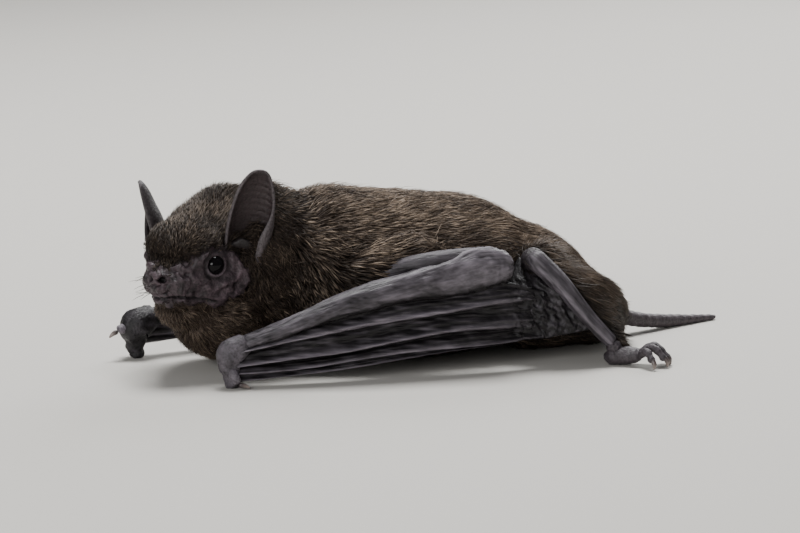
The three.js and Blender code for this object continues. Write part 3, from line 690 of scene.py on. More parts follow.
def forearm_skin(wing):
    """The forearm in its loose skin: a bowed tube through the stations of FOREARM, with a rib and a hollow along its
    outer side, a furrow near the elbow, wrinkles along it, and cross wrinkles that crowd towards the elbow."""
    side, elbow, wrist = wing["side"], wing["elbow"], wing["wrist"]
    stations = [(mixed(elbow, wrist, t, (0, side * out, up)), wide, tall) for t, out, up, wide, tall in FOREARM]
    grid, t, angle = limb(stations, *near(side, (130, 44), (70, 26)))
    n = normals_of(grid)
    low = np.sin(angle)
    outer = np.cos(angle) * side > 0
    rib = 0.16 * bump(low + 0.62, 0.2) * outer * smooth(0.25, 0.5, t)
    hollow = -0.1 * bump(low + 0.1, 0.22) * outer * smooth(0.3, 0.6, t)
    furrow = -0.2 * bump(low - 0.42 - 1.1 * t, 0.07) * outer * smooth(0.4, 0.25, t) * smooth(0.08, 0.2, t)
    grid = grid + n * (rib + hollow + furrow)[..., None]
    grain = lengthwise(grid, angle)
    along = ripple(grain, 0.7, 51)
    cross = np.sin(120 * t + 5 * low + 3.5 * ripple(grid, 2.4, 53))
    elbowed = smooth(0.3, 0.05, t)
    net = ripple(grid * (0.6, 1, 1), 0.5, 56)
    wrinkle = bump(np.sin(6 * angle + 2.6 * ripple(grain * (1, 0.3, 0.3), 1.0, 57)), 0.28)
    relief = 0.04 * along - 0.05 * wrinkle + (0.015 + 0.02 * elbowed) * net + 0.02 * elbowed * cross
    grid = grid + n * relief[..., None]
    # Painted light and shade that follow the relief: lighter where the streaks, the net and the rib stand out, darker
    # in the wrinkles and along the underside, and lighter towards the elbow.
    light = 0.4 + 0.13 * along + 0.08 * net - 0.2 * wrinkle + 0.3 * smooth(0.6, 0.15, t)
    light = light + 0.6 * rib - 0.9 * smooth(-0.35, -0.9, low)
    return grid, wing_tint(grid, light, 55), grain


def upper_arm_skin(wing):
    """The upper arm: a tube from the shoulder, deep in the fur, to the elbow, streaked along its length."""
    side, r = wing["side"], UPPER_ARM_RADIUS
    a, b = wing["shoulder"], wing["elbow"]
    stations = [
        (mixed(a, b, 0.1, (0, -side * 1.5, 0)), r),
        (mixed(a, b, 0.3, (0, side * 0.6, 0.5)), r),
        (mixed(a, b, 0.5, (0, side * 1.8, 1.3)), r),
        (mixed(a, b, 0.75, (0, side * 0.9, 1.3)), r),
        (mixed(a, b, 0.93, (0, side * 0.1, 0.9)), r * 0.9),
    ]
    grid, _, angle = limb(stations, *near(side, (70, 24), (50, 20)))
    n = normals_of(grid)
    grain = lengthwise(grid, angle)
    grid = grid + n * (0.03 * ripple(grain, 0.6, 61))[..., None]
    # Painted light: lighter on its upper side and darker below, as top light falls. The streaks are its own tone.
    return grid, wing_tint(grid, 0.26 + 0.22 * np.sin(angle) + 0.1 * ripple(grain, 0.5, 62), 63), grain


def wrist_skin(wing):
    """The wrist: a knob that narrows down to the pad on the floor, pebbled by its small bones."""
    grid, _, _ = limb(wing["knob"], *near(wing["side"], (40, 36), (36, 30)), up=(1, 0, 0))
    pebbles = 0.09 * ripple(grid, 1.4, 71) + 0.04 * ripple(grid, 0.6, 72)
    grid = over_floor(grid + normals_of(grid) * pebbles[..., None])
    # Painted shade: the right wrist, the far one, at the dark end of the wing's tone, the left one halfway. The
    # ripple is their own tone.
    return grid, wing_tint(grid, near(wing["side"], 0.5, 0.0) + 0.15 * ripple(grid, 1.1, 74), 73)


def thumb_skin(wing):
    """The thumb, three tapering joints."""
    sizes = (0.6, 0.5, 0.425)
    grid, _, _ = limb(list(zip(wing["thumb"], sizes)), rings=22, sides=14, up=(1, 0, 0.3))
    return over_floor(grid), wing_tint(grid, 0.8, 75)


def hand_skin(wing):
    """The folded hand as one pleated sheet. Its columns run along the lines of HAND_LINES, so that q = 1, 2, 3 are
    the fingers and 4 is the lower edge: relief = sum of ridges exp(-((q - k) / w)^2), with pleats sin(2 pi n q)
    between them. Towards the elbow the ridges fade and the sheet draws in under the membrane of the side."""
    side = wing["side"]
    rings, sides = near(side, (180, 120), (84, 72))
    v = np.linspace(0, 1, rings)
    t = 0.5 - 0.5 * np.cos(math.pi * v)
    u = np.arange(sides) / sides
    q = 4 * np.where(u <= 0.75, u / 0.75, 4 - 4 * u)
    face = np.where((u > 0) & (u < 0.75), 1.0, np.where(u > 0.75, -1.0, 0.0))
    base = through(wing["hand"])(t)
    lines = through(HAND_LINES.T)(t)
    k = np.minimum(q.astype(int), 3)
    w = q - k
    height = lines[:, k] * (1 - w) + lines[:, k + 1] * w
    middle = np.repeat(base[:, None], sides, 1)
    middle[..., 2] += height
    t2, q2 = np.broadcast_to(t[:, None], height.shape), np.broadcast_to(q[None], height.shape)
    sway = 0.06 * np.sin(7 * t2 + 2.3 * q2) * np.sin(math.pi * t2)
    ridge, crest_highlight = 0.0, 0.0
    open_end = 1 - 0.75 * smooth(0.84, 0.98, t2)
    for line, high, above, under in HAND_RIDGES:
        d = q2 - line - sway * (line < 4)
        ridge = ridge + high * bump(d, np.where(d < 0, above, under))
        ridge = ridge - 0.3 * high * bump(d - 2.2 * under, under)
        crest_highlight = crest_highlight + bump(d + 0.02, np.where(d < 0, 0.11, 0.07))
    ridge = ridge * open_end
    grain = np.stack([base[:, :1] * 0.12 + 0 * height, height, 0.5 * face + 0 * height], -1)
    phase = 2.4 * ripple(middle * (0.16, 1, 0.6), 2.2, 81)
    spread = smooth(0.02, 0.25, t2)
    pleat = np.sin(2 * math.pi * q2 * 1.6 + phase + 2.5 * t2)
    fine = np.sin(2 * math.pi * q2 * 4.3 + 1.9 * phase - 3 * t2)
    crumple = smooth(0.8, 0.97, t2)
    drawn_in = 0.14 * ripple(middle, 1.0, 83) + 0.07 * ripple(middle, 0.55, 84) - 0.6
    relief = ridge + (0.1 * pleat + 0.05 * fine) * spread + 0.045 * ripple(grain, 0.4, 82) + crumple * drawn_in
    ends, edges = (np.sqrt(np.maximum(0, 1 - np.abs(x) ** k)) for x, k in ((2 * t2 - 1, 24), (q2 / 2 - 1, 10)))
    thick = MEMBRANE * ends * edges
    grid = middle.copy()
    grid[..., 1] += side * (0.5 * thick * face + np.where(face >= 0, relief, 0.3 * relief))
    # Painted light and shade: painted highlights on the ridges and along their crests, lighter and darker with the
    # pleats, and darker towards the elbow, where the sheet draws in under the side membrane. It is a little lighter
    # below the third finger, and the ripple is the skin's own tone.
    light = 0.6 * np.clip(ridge, 0, 1) ** 1.3 + 0.85 * crest_highlight * open_end + 0.08 * pleat + 0.06 * fine
    light = (light + 0.13 * ripple(grain, 0.35, 86)) * (1 - 0.45 * smooth(0.4, 0.9, t2)) + 0.08 * (q2 > 3.2)
    return grid, wing_tint(grid, light, 85), grain


LEGS = {
    "left": dict(
        side=-1, hip=(15.5, -4.0, 7.0), knee=(10.9, -10.6, 11.1), ankle=(19.0, -12.8, 2.1), toes=(21.6, -14.2, 1.05)
    ),
    "right": dict(
        side=1, hip=(15.5, 4.0, 7.0), knee=(10.2, 10.8, 10.6), ankle=(18.4, 13.0, 2.1), toes=(21.0, 14.4, 1.05)
    ),
}


def side_membrane_skin(wing, leg):
    """Slack skin between the hand, the elbow and the shin, crumpled into a net of folds."""
    side = wing["side"]
    tip = np.array(wing["hand"][2])
    knee, ankle = leg["knee"], leg["ankle"]
    front = [
        tip + (-2.6, -side * 4.6, 8.2),
        tip + (-1.6, -side * 1.0, 6.3),
        tip + (-0.9, -side * 0.1, 4.6),
        tip + (0.1, 0, 2.9),
    ]
    back = [
        mixed(knee, ankle, 0.02, (0.0, -side * 3.4, -0.6)),
        mixed(knee, ankle, 0.25, (0, -side * 0.3, -0.2)),
        mixed(knee, ankle, 0.5, (0, 0, -0.3)),
        mixed(knee, ankle, 0.78, (-0.2, 0, -0.5)),
    ]

    def relief(s, t, p):
        net = 0.2 * ripple(p * (1.0, 1.0, 0.55), 1.5, 92) + 0.12 * ripple(p, 0.75, 93) + 0.06 * ripple(p, 0.4, 94)
        folds = 0.16 * np.sin(2 * math.pi * s * 2.5 + 2 * ripple(p, 3.0, 91))
        return (folds + net) * np.sin(math.pi * np.clip(t, 0.02, 0.98)) ** 0.5 * smooth(0.02, 0.3, t)

    grid, t = leaf(front, back, *near(side, (70, 34), (44, 20)), MEMBRANE, relief)
    # Painted shade: nearly all at the dark end of the wing's tone, as this slack skin lies in shade between the wing
    # and the leg, and a little lighter where its finer net of folds stands out.
    return grid, wing_tint(grid, 0.02 + 0.16 * ripple(grid, 0.75, 93) * smooth(0.1, 0.4, t), 95)


# ---------------------------------------------------------------- legs, feet and tail


def shin_skin(leg):
    """The shin: a thin tube with the membrane's edge as a pale ridge along its lower side."""
    side, r = leg["side"], SHIN_RADIUS
    knee, ankle = leg["knee"], leg["ankle"]
    stations = [
        (mixed(knee, ankle, 0), r * 1.12),
        (mixed(knee, ankle, 0.3, (0.3, side * 0.4, 0)), r * 1.02),
        (mixed(knee, ankle, 0.7, (0, side * 0.3, -0.1)), r * 0.8),
        (mixed(knee, ankle, 1.0), r * 0.74),
    ]
    grid, t, angle = limb(stations, rings=64, sides=26)
    n = normals_of(grid)
    line = bump(np.sin(angle) + 0.35, 0.16) * (np.cos(angle) * side > 0) * smooth(0.08, 0.2, t)
    grain = lengthwise(grid, angle)
    grid = grid + n * (0.16 * line + 0.03 * ripple(grain, 0.5, 101))[..., None]
    light = 0.35 + 0.7 * line + 0.12 * ripple(grain, 0.45, 102)
    return grid, wing_tint(grid, light, 103), grain


def thigh_skin(leg):
    """The thigh, from inside the rump to the knee."""
    hip, knee = leg["hip"], leg["knee"]
    stations = [(hip, 2.2), (mixed(hip, knee, 0.5), 1.65), (mixed(hip, knee, 0.95), 1.05)]
    grid, _, _ = limb(stations, rings=30, sides=24)
    return grid, tinted(grid.shape[:2], "wing_dark", "leg", 0.4)


# From the inner toe to the outer one: place across the sole, turn, reach and height of arch.
TOES = [
    (-0.85, -14, 2.1, 0.75),
    (-0.42, -6, 2.35, 0.85),
    (0.0, 1, 2.4, 0.9),
    (0.42, 8, 2.25, 0.85),
    (0.9, 48, 1.7, 0.6),
]
TOE_RADIUS = 0.36


def toe_joints(leg, across, turn, reach, arch):
    """Root and top of the arch of one toe, root of its claw, end of the toe in the claw, and the claw's point."""
    side = leg["side"]
    ankle, toes = np.array(leg["ankle"]), np.array(leg["toes"])
    ahead = unit((toes - ankle) * (1, 1, 0))
    outer = np.array([-ahead[1], ahead[0], 0]) * side
    turned = turned_z(side * turn) @ ahead
    root = toes + outer * across
    height, end = toes[2], 0.95 * reach
    places = (
        (-0.25 * reach, height),
        (0.45 * reach, height + arch),
        (end, height + 0.1),
        (end + 0.1, height - 0.02),
        (end + 0.4, 0.1),
    )
    root, top, horn, inside, point = (np.append((root + turned * along)[:2], z) for along, z in places)
    return root, top, horn, mixed(inside, point, 0.3), point


def foot_skins(leg):
    """The sole and its five toes, knuckled by rings of folds."""
    ankle, toes = leg["ankle"], leg["toes"]
    sole_stations = [
        (mixed(ankle, toes, -0.3, (0, 0, -1.65)), 0.8, 0.75),
        (mixed(ankle, toes, 0.4, (0, 0, -0.75)), 1.05, 0.9),
        (np.array(toes), 1.25, 0.6),
    ]
    heel_stations = [(mixed(ankle, toes, -0.1, (0, 0, 0.2)), 0.75), (mixed(ankle, toes, 0.15, (0, 0, -0.9)), 0.8)]
    sole, _, _ = limb(sole_stations, rings=30, sides=24)
    sole = sole + normals_of(sole) * (0.05 * ripple(sole, 0.9, 111) + 0.03 * ripple(sole, 0.45, 112))[..., None]
    heel, _, _ = limb(heel_stations, rings=16, sides=16, up=(1, 0, 0))
    made = [sole, heel]
    for i, shape in enumerate(TOES):
        root, top, _, tip, _ = toe_joints(leg, *shape)
        stations = [(root, TOE_RADIUS), (top, TOE_RADIUS * 1.05), (tip, TOE_RADIUS * 0.95)]
        toe, t, _ = limb(stations, rings=26, sides=12)
        knuckles = 0.04 * np.sin(26 * t + i) + 0.05 * bump(t - 0.5, 0.12)
        made.append(toe + normals_of(toe) * knuckles[..., None])
    skins = []
    for i, grid in enumerate(made):
        grid = over_floor(grid)
        pale = np.clip(0.75 + 0.2 * ripple(grid, 0.8, 115 + i), 0, 1)
        skins.append((grid, tinted(grid.shape[:2], "wing_dark", "leg", pale)))
    return skins


TAIL_PATH = [(23.6, 0.2, 2.6), (27.6, 1.5, 1.35), (32.5, 3.5, 0.6), (38.2, 5.6, 0.28)]


def tail_skin():
    """The tail: a tube from 0.95 to 0.25 mm in half width, with a fold of skin about every millimetre."""
    sizes = (0.94, 0.77, 0.64, 0.26)
    grid, t, angle = limb(list(zip(TAIL_PATH, sizes)), rings=90, sides=16)
    folds = 0.025 * np.sin(100 * t + 0.8 * np.sin(angle)) + 0.03 * ripple(grid, 0.9, 121)
    grid = over_floor(grid + normals_of(grid) * folds[..., None])
    return grid, tinted(grid.shape[:2], "leg", "tail", 0.6 + 0.3 * ripple(grid, 1.5, 122))


def tail_membrane_skin(leg):
    """Half of the tail membrane, from the shin round the rump to the tail's root, with fine folds across it."""
    side = leg["side"]
    knee, ankle = leg["knee"], leg["ankle"]
    outer = [
        mixed(knee, ankle, 0.04, (0.3, -side * 0.3, 0.1)),
        mixed(knee, ankle, 0.5, (0.9, -side * 0.1, 0.2)),
        mixed(knee, ankle, 0.97, (0.7, -side * 0.1, -0.2)),
    ]
    inner = [np.array([15.2, side * 4.6, 8.0]), np.array([22.2, side * 4.0, 5.4]), np.array([25.0, side * 0.9, 2.35])]

    def relief(s, t, p):
        out = 1.4 * np.sin(math.pi * s) * np.sin(math.pi * t)
        out = out + 0.05 * np.sin(30 * t + 2 * ripple(p, 3.0, 131)) * smooth(0, 0.2, s) + 0.05 * ripple(p, 1.0, 132)
        return out if side > 0 else -out

    grid, _ = leaf(outer, inner, 46, 24, MEMBRANE, relief)
    return grid, tinted(grid.shape[:2], "wing_dark", "tail", np.clip(0.3 + 0.2 * ripple(grid, 2.0, 133), 0, 1))


# ---------------------------------------------------------------- meshes


def closed_faces(rings, sides):
    """Corner lists of a closed grid whose first and last rings are one point each: fans at the ends, quads between.
    Vertex 0 is the first pole, then (rings - 2) full rings, then the last pole."""
    inner = rings - 2
    ring = lambda r: 1 + r * sides + np.arange(sides)
    quads = []
    for r in range(inner - 1):
        a, b = ring(r), ring(r + 1)
        quads.append(np.stack([a, np.roll(a, -1), np.roll(b, -1), b], 1))
    first, last = ring(0), ring(inner - 1)
    top = np.stack([np.full(sides, 0), np.roll(first, -1), first], 1)
    bottom = np.stack([np.full(sides, 1 + inner * sides), last, np.roll(last, -1)], 1)
    return np.concatenate(quads), np.concatenate([top, bottom])


def add_mesh(name, points, quads, tris, material):
    """A new smooth object with these corners, turned from millimetres to metres, in the scene's collection."""
    mesh = bpy.data.meshes.new(name)
    mesh.vertices.add(len(points))
    mesh.vertices.foreach_set("co", (np.asarray(points) * MM).astype(np.float32).ravel())
    corners = np.concatenate([quads.ravel(), tris.ravel()]).astype(np.int32)
    starts = np.concatenate([np.arange(len(quads)) * 4, len(quads) * 4 + np.arange(len(tris)) * 3]).astype(np.int32)
    mesh.loops.add(len(corners))
    mesh.loops.foreach_set("vertex_index", corners)
    mesh.polygons.add(len(starts))
    mesh.polygons.foreach_set("loop_start", starts)
    mesh.polygons.foreach_set("use_smooth", np.full(len(starts), True))
    mesh.update(calc_edges=True)
    mesh.validate()
    mesh.materials.append(material)
    obj = bpy.data.objects.new(name, mesh)
    bpy.context.scene.collection.objects.link(obj)
    return obj


def paint(obj, name, colours):
    """A colour attribute with one linear colour for each vertex."""
    layer = obj.data.attributes.new(name, "FLOAT_COLOR", "POINT")
    rgba = np.ones((len(colours), 4), np.float32)
    rgba[:, :3] = colours
    layer.data.foreach_set("color", rgba.ravel())


def joined(grids):
    """Corners, quads, triangles, colours and pattern places of closed grids as one mesh, with its faces outwards.
    Each grid comes with its colours and, where its pattern follows it, the places at which that is read."""
    points, quads, tris, tints, grains, base = [], [], [], [], [], 0
    for grid, tint, *grain in grids:
        rings, sides = grid.shape[:2]
        flat = lambda a: np.concatenate([a[0].mean(0)[None], a[1:-1].reshape(-1, a.shape[-1]), a[-1].mean(0)[None]])
        p, c = flat(grid), flat(np.broadcast_to(tint, grid.shape))
        grains.append(flat(grain[0]) if grain else p)
        q, t = closed_faces(rings, sides)
        split = (t, q[:, :3], q[:, [0, 2, 3]])
        volume = sum(np.einsum("ij,ij->i", p[f[:, 0]], np.cross(p[f[:, 1]], p[f[:, 2]])).sum() for f in split)
        if volume < 0:
            q, t = q[:, ::-1], t[:, ::-1]
        points.append(p)
        quads.append(q + base)
        tris.append(t + base)
        tints.append(c)
        base += len(p)
    return (np.concatenate(a) for a in (points, quads, tris, tints, grains))


# ---------------------------------------------------------------- the coat

# Rings of a wisp from its root: share of the way to its tip, share of its width.
BODY_WISP = ((0.0, 0.75), (0.34, 1.0), (0.7, 0.72))
HEAD_WISP = ((0.0, 0.85), (0.5, 1.0))
STRAYS = 1 / 12  # share of the wisps that stand out of the coat
LOWEST = 0.015  # height over the floor, in millimetres, that no wisp goes under
PATCH = 0.0015  # half the size of a wisp's own patch on the unwrap
MOST_IN_PIECE = 12000  # wisps, so that a piece stays under 200,000 triangles


class Patch:
    """A stretch of skin that grows hair: a closed grid, and its own place on the unwrap of the skin."""

    def __init__(self, grid, corner, size):
        self.grid, self.corner, self.size = grid, corner, size
        self.normals = normals_of(grid)

    def roots(self, count, density, seed):
        """Seeded places on the grid, as many per square millimetre as density asks: an even walk along the running
        total of the cells' shares, and a random spot in each cell. Returns places, normals and unwrap."""
        rng = np.random.default_rng(seed)
        g = self.grid
        b, c = np.roll(g, -1, 1), g
        one, two = g[1:] - g[:-1], (b - c)[:-1]
        area = np.linalg.norm(np.cross(one, two), axis=-1)
        middle = (g[1:] + g[:-1]) / 2
        share = np.cumsum((area * density(middle)).ravel())
        pick = np.searchsorted(share, (np.arange(count) + rng.random(count)) / count * share[-1])
        pick = np.minimum(pick, area.size - 1)
        r, s = np.divmod(pick, g.shape[1])
        fr, fs = rng.random(count), rng.random(count)
        s2 = (s + 1) % g.shape[1]

        def blend(a):
            low = a[r, s] * (1 - fs)[:, None] + a[r, s2] * fs[:, None]
            high = a[r + 1, s] * (1 - fs)[:, None] + a[r + 1, s2] * fs[:, None]
            return low * (1 - fr)[:, None] + high * fr[:, None]

        uv = np.stack([(s + fs) / g.shape[1], (r + fr) / (g.shape[0] - 1)], 1)
        return blend(g), unit(blend(self.normals)), np.array(self.corner) + uv * np.array(self.size)


def tufts(roots, normals, unwrap, width, rings, seed, clump, flat=False):
    """Tapered wisps as closed three-sided spikes. Each leaves its root along the lie of the coat, and each of its
    rings is lifted to a share of the coat's depth that rises as 1 - (1 - t)^2, so that the tip reaches the coat's
    outside. Neighbours lean towards the middle of their clump, and one in twelve is a thin stray that stands
    further out. A flat coat is lifted off its own skin instead. Returns corners, quads, triangles, and the colour
    and place on the unwrap of each corner."""
    rng = np.random.default_rng(seed)
    n, last = len(roots), len(rings)
    lie = coat_lie(roots, normals)
    across = np.cross(normals, lie)
    upright = smooth(-6.0, -12.0, roots[:, 0])
    sway = (rng.normal(0, 1, n) * (0.16 + 0.14 * upright))[:, None]
    lie = unit(lie + across * sway)
    across = np.cross(normals, lie)
    depth = coat_depth(roots)
    ground = np.stack([ripple(roots, clump * 2, s) for s in (seed + 1, seed + 2, seed + 3)], -1)
    pull = ground - normals * np.sum(ground * normals, -1, keepdims=True)
    stray = rng.random(n) < STRAYS
    top = np.where(stray, rng.uniform(1.12, 1.35, n), rng.uniform(0.66, 1.12, n))
    length = coat_length(roots) * rng.uniform(0.72, 1.12, n) * np.where(stray, 1.1, 1.0)
    reach = np.sqrt(np.maximum(length**2 - (depth * top) ** 2, (0.35 * length) ** 2))
    size = (width(roots) * rng.uniform(0.7, 1.25, n) * np.where(stray, 0.4, 1.0))[:, None]
    corners = []
    for t, share in (*rings, (1.0, 0.0)):
        p = roots + lie * (reach * t)[:, None] + pull * (0.17 * clump * t**1.5)
        if flat:
            p = p + normals * (0.3 * top * (1 - (1 - t) ** 2) - 0.08)[:, None]
        elif t:
            wanted = -coat_depth(p) * (1 - top * (1 - (1 - t) ** 2))
            p = p + normals * np.clip(wanted - coat_field(p), -1.5, 1.5)[:, None]
        else:
            p = p - normals * ROOT_DEPTH
        w = size * share
        corners += [p - across * w / 2, p + across * w / 2, p + normals * w * 0.42] if share else [p]
    points = over_floor(np.stack(corners, 1), LOWEST)
    base = (np.arange(n) * (3 * last + 1))[:, None, None]
    ring = np.array([[0, 1, 4, 3], [1, 2, 5, 4], [2, 0, 3, 5]])
    quads = (np.concatenate([ring + 3 * k for k in range(last - 1)])[None] + base).reshape(-1, 4)
    end = 3 * last
    tris = np.array([[end - 3, end - 2, end], [end - 2, end - 1, end], [end - 1, end - 3, end], [0, 2, 1]])
    tris = (tris[None] + base).reshape(-1, 3)
    pale = np.clip(0.5 + 0.17 * ripple(roots, 2.6, 77) + rng.normal(0, 0.26, n), 0.02, 1)
    along = np.array([t for t, _ in rings for _ in range(3)] + [1.0])
    colour = hair_colour(roots, normals, pale, along)
    patch = np.array([(x, 2 * t - 1) for t, _ in rings for x in (-1, 1, 0)] + [(0, 1)])
    uv = unwrap[:, None, :] + patch[None] * PATCH
    return points.reshape(-1, 3), quads, tris, colour.reshape(-1, 3), uv.reshape(-1, 2)


def hair_colour(roots, normals, pale, along):
    """Each tuft goes from its dark root through brown to a paler tip. The paleness of the tips varies from tuft to
    tuft: the tips are palest where the skin faces up along the back, partly the coat's own paler back and partly
    painted top light, so that the flanks stay darker; chin and throat are golden, and the crown and neck stay dark."""
    q = to_head(roots)
    # Partly painted top light: tips paler, and more often pale, where the skin faces up on the back, which is also
    # the coat's own paler back.
    back = smooth(0.1, 0.95, normals[:, 2]) * smooth(-15, -4, roots[:, 0])
    under = smooth(-2.5, -4.5, q[:, 2]) * smooth(2.0, -1.0, q[:, 0])
    breast = smooth(9.5, 5.0, roots[:, 2]) * smooth(-12, -16, roots[:, 0])
    rump = smooth(14, 21, roots[:, 0])
    head = smooth(-15, -18, roots[:, 0]) * (1 - under)
    strength = 0.4 + 1.05 * back + 1.25 * np.maximum(under, 0.8 * breast)
    strength = strength * (1 - 0.55 * rump) * (1 - 0.1 * head)
    strength = np.clip(strength, 0, 1.4)[:, None]
    mid = smooth(0.0, 0.5, along)[None, :] * np.minimum(strength, 1)
    glint = np.where(back > 0.4, 1.5 * pale**2.0, 2.1 * pale**3.2)[:, None]
    tip = np.minimum(smooth(0.35, 0.9, along)[None, :] * glint * strength, 1)
    colour = COLOUR["hair_root"] * (1 - mid)[..., None] + COLOUR["hair_middle"] * mid[..., None]
    return colour * (1 - tip)[..., None] + COLOUR["hair_tip"] * tip[..., None]


def add_coat(name, made, material):
    """One coat piece from the arrays that tufts returns, with its unwrap as the UV map OFBake."""
    points, quads, tris, colours, unwrap = made
    obj = add_mesh(name, points, quads, tris, material)
    paint(obj, "hair", colours)
    layer = obj.data.uv_layers.new(name="OFBake")
    index = np.empty(len(obj.data.loops), np.int32)
    obj.data.loops.foreach_get("vertex_index", index)
    layer.data.foreach_set("uv", unwrap[index].astype(np.float32).ravel())
    return obj


# ---------------------------------------------------------------- materials


def node(tree, kind, settings=None, **links):
    """A new shader node with its settings. Each link is named for a socket, or i and the socket's number, and holds
    a plain value to set on it or another node's socket to join to it."""
    made = tree.nodes.new(kind)
    for key, value in (settings or {}).items():
        setattr(made, key, value)
    for key, value in links.items():
        numbered = key[0] == "i" and key[1:].isdigit()
        socket = made.inputs[int(key[1:]) if numbered else key]
        if isinstance(value, bpy.types.NodeSocket):
            tree.links.new(value, socket)
        else:
            socket.default_value = value
    return made


def shader(name, roughness, specular, ior=1.5):
    """A material with one Principled shader, whose constants are set on its own sockets."""
    material = bpy.data.materials.new(name)
    material.use_nodes = True
    tree = material.node_tree
    principled = tree.nodes["Principled BSDF"]
    principled.inputs["Roughness"].default_value = roughness
    principled.inputs["Specular IOR Level"].default_value = specular
    principled.inputs["IOR"].default_value = ior
    return material, tree, principled


MOTTLES, PEBBLES = 4.6, 3.8  # to the millimetre: patches of tone 0.22 mm across, pebbles 0.26 mm apart


def bat_skin_material():
    """Bare bat skin: thin hide with a satin gloss, mottled and pebbled about every quarter of a millimetre. Real
    pores are finer, and would not show."""
    material, tree, principled = shader("bat skin, thin satin hide", 0.46, 0.34)
    colour = node(tree, "ShaderNodeAttribute", {"attribute_name": "tint"})
    place = node(tree, "ShaderNodeAttribute", {"attribute_name": "grain"}).outputs["Vector"]
    noise = node(tree, "ShaderNodeTexNoise", {"noise_dimensions": "3D"}, Vector=place, Scale=MOTTLES, Detail=4.0)
    fine = noise.outputs["Fac"]
    pebble = node(tree, "ShaderNodeTexVoronoi", {"feature": "F1"}, Vector=place, Scale=PEBBLES).outputs["Distance"]
    mottle = node(tree, "ShaderNodeMapRange", i0=fine, i1=0.3, i2=0.7, i3=0.55, i4=1.45).outputs["Result"]
    tone = node(tree, "ShaderNodeVectorMath", {"operation": "SCALE"}, i0=colour.outputs["Color"], Scale=mottle)
    tree.links.new(tone.outputs["Vector"], principled.inputs["Base Color"])
    rough = node(tree, "ShaderNodeMapRange", i0=fine, i1=0.3, i2=0.7, i3=0.38, i4=0.6)
    tree.links.new(rough.outputs["Result"], principled.inputs["Roughness"])
    low = node(tree, "ShaderNodeBump", Strength=0.9, Distance=0.12 * MM, Height=fine).outputs["Normal"]
    high = node(tree, "ShaderNodeBump", Strength=0.35, Distance=0.05 * MM, Height=pebble, Normal=low)
    tree.links.new(high.outputs["Normal"], principled.inputs["Normal"])
    return material


def bat_hair_material():
    """Bat hair: fine keratin, dark at the root and paler at the tip, with a soft gloss."""
    material, tree, principled = shader("bat hair, fine keratin", 0.55, 0.22)
    colour = node(tree, "ShaderNodeAttribute", {"attribute_name": "hair"})
    tree.links.new(colour.outputs["Color"], principled.inputs["Base Color"])
    return material


def eye_material():
    """A wet black eye, as smooth as glass."""
    material, _, principled = shader("wet black eye", 0.05, 0.2, ior=1.38)
    principled.inputs["Base Color"].default_value = (*COLOUR["eye"], 1)
    return material


def claw_material():
    """Horn of the claws: translucent keratin, dark at the root."""
    material, tree, principled = shader("claw horn, keratin", 0.3, 0.5, ior=1.54)
    colour = node(tree, "ShaderNodeAttribute", {"attribute_name": "tint"})
    tree.links.new(colour.outputs["Color"], principled.inputs["Base Color"])
    return material


def floor_material():
    """A pale matt floor of painted board."""
    material, _, principled = shader("painted board", 0.85, 0.2)
    principled.inputs["Base Color"].default_value = (*COLOUR["floor"], 1)
    return material


# ---------------------------------------------------------------- claws and whiskers


CLAW_RADIUS = 0.27


def claw(root, tip, hook):
    """A claw bent through a hook, which tapers to a third of its radius and pales from its root to its point.
    Returns its grid and colours."""
    radius, middle = CLAW_RADIUS, mixed(root, tip, 0.5, hook)
    grid, t, _ = limb([(root, radius), (middle, radius * 0.85), (tip, radius * 0.3)], rings=18, sides=12)
    return over_floor(grid), tinted(t.shape, "claw_root", "claw_point", smooth(0.1, 0.9, t))


# ---------------------------------------------------------------- settings


class BatCoatSettings(bpy.types.PropertyGroup):
    """How thick and fine the coat is."""

    body_tufts: bpy.props.IntProperty(
        name="Body tufts", description="Wisps on the neck and trunk", default=58000, min=1000, max=60000
    )
    head_tufts: bpy.props.IntProperty(
        name="Head tufts", description="Wisps on the head", default=40000, min=1000, max=40000
    )
    membrane_tufts: bpy.props.IntProperty(
        name="Membrane tufts", description="Wisps tried on each half tail membrane", default=8000, min=100, max=12000
    )
    thigh_tufts: bpy.props.IntProperty(
        name="Thigh tufts", description="Short wisps on each thigh", default=2500, min=100, max=9000
    )
    body_width: bpy.props.FloatProperty(
        name="Body wisp", description="Width of a wisp on the body, in millimetres", default=0.16, min=0.05, max=1.0
    )
    head_width: bpy.props.FloatProperty(
        name="Head wisp", description="Width of a wisp on the head, in millimetres", default=0.1, min=0.05, max=1.0
    )
    whiskers: bpy.props.IntProperty(
        name="Whiskers", description="Long fine hairs on the muzzle", default=26, min=0, max=200
    )


class BatStageSettings(bpy.types.PropertyGroup):
    """Where the camera stands and how bright the lights are."""

    azimuth: bpy.props.FloatProperty(
        name="Azimuth", description="Degrees round the bat from its left side", default=-18.0
    )
    elevation: bpy.props.FloatProperty(name="Elevation", description="Degrees above the floor", default=10.0)
    distance: bpy.props.FloatProperty(
        name="Distance", description="From the camera to the bat", default=0.3, unit="LENGTH"
    )
    lens: bpy.props.FloatProperty(name="Lens", description="Focal length in millimetres", default=135.0)
    key_watts: bpy.props.FloatProperty(
        name="Lights", description="Power in watts that each light takes its share of", default=1.5
    )


# ---------------------------------------------------------------- operators


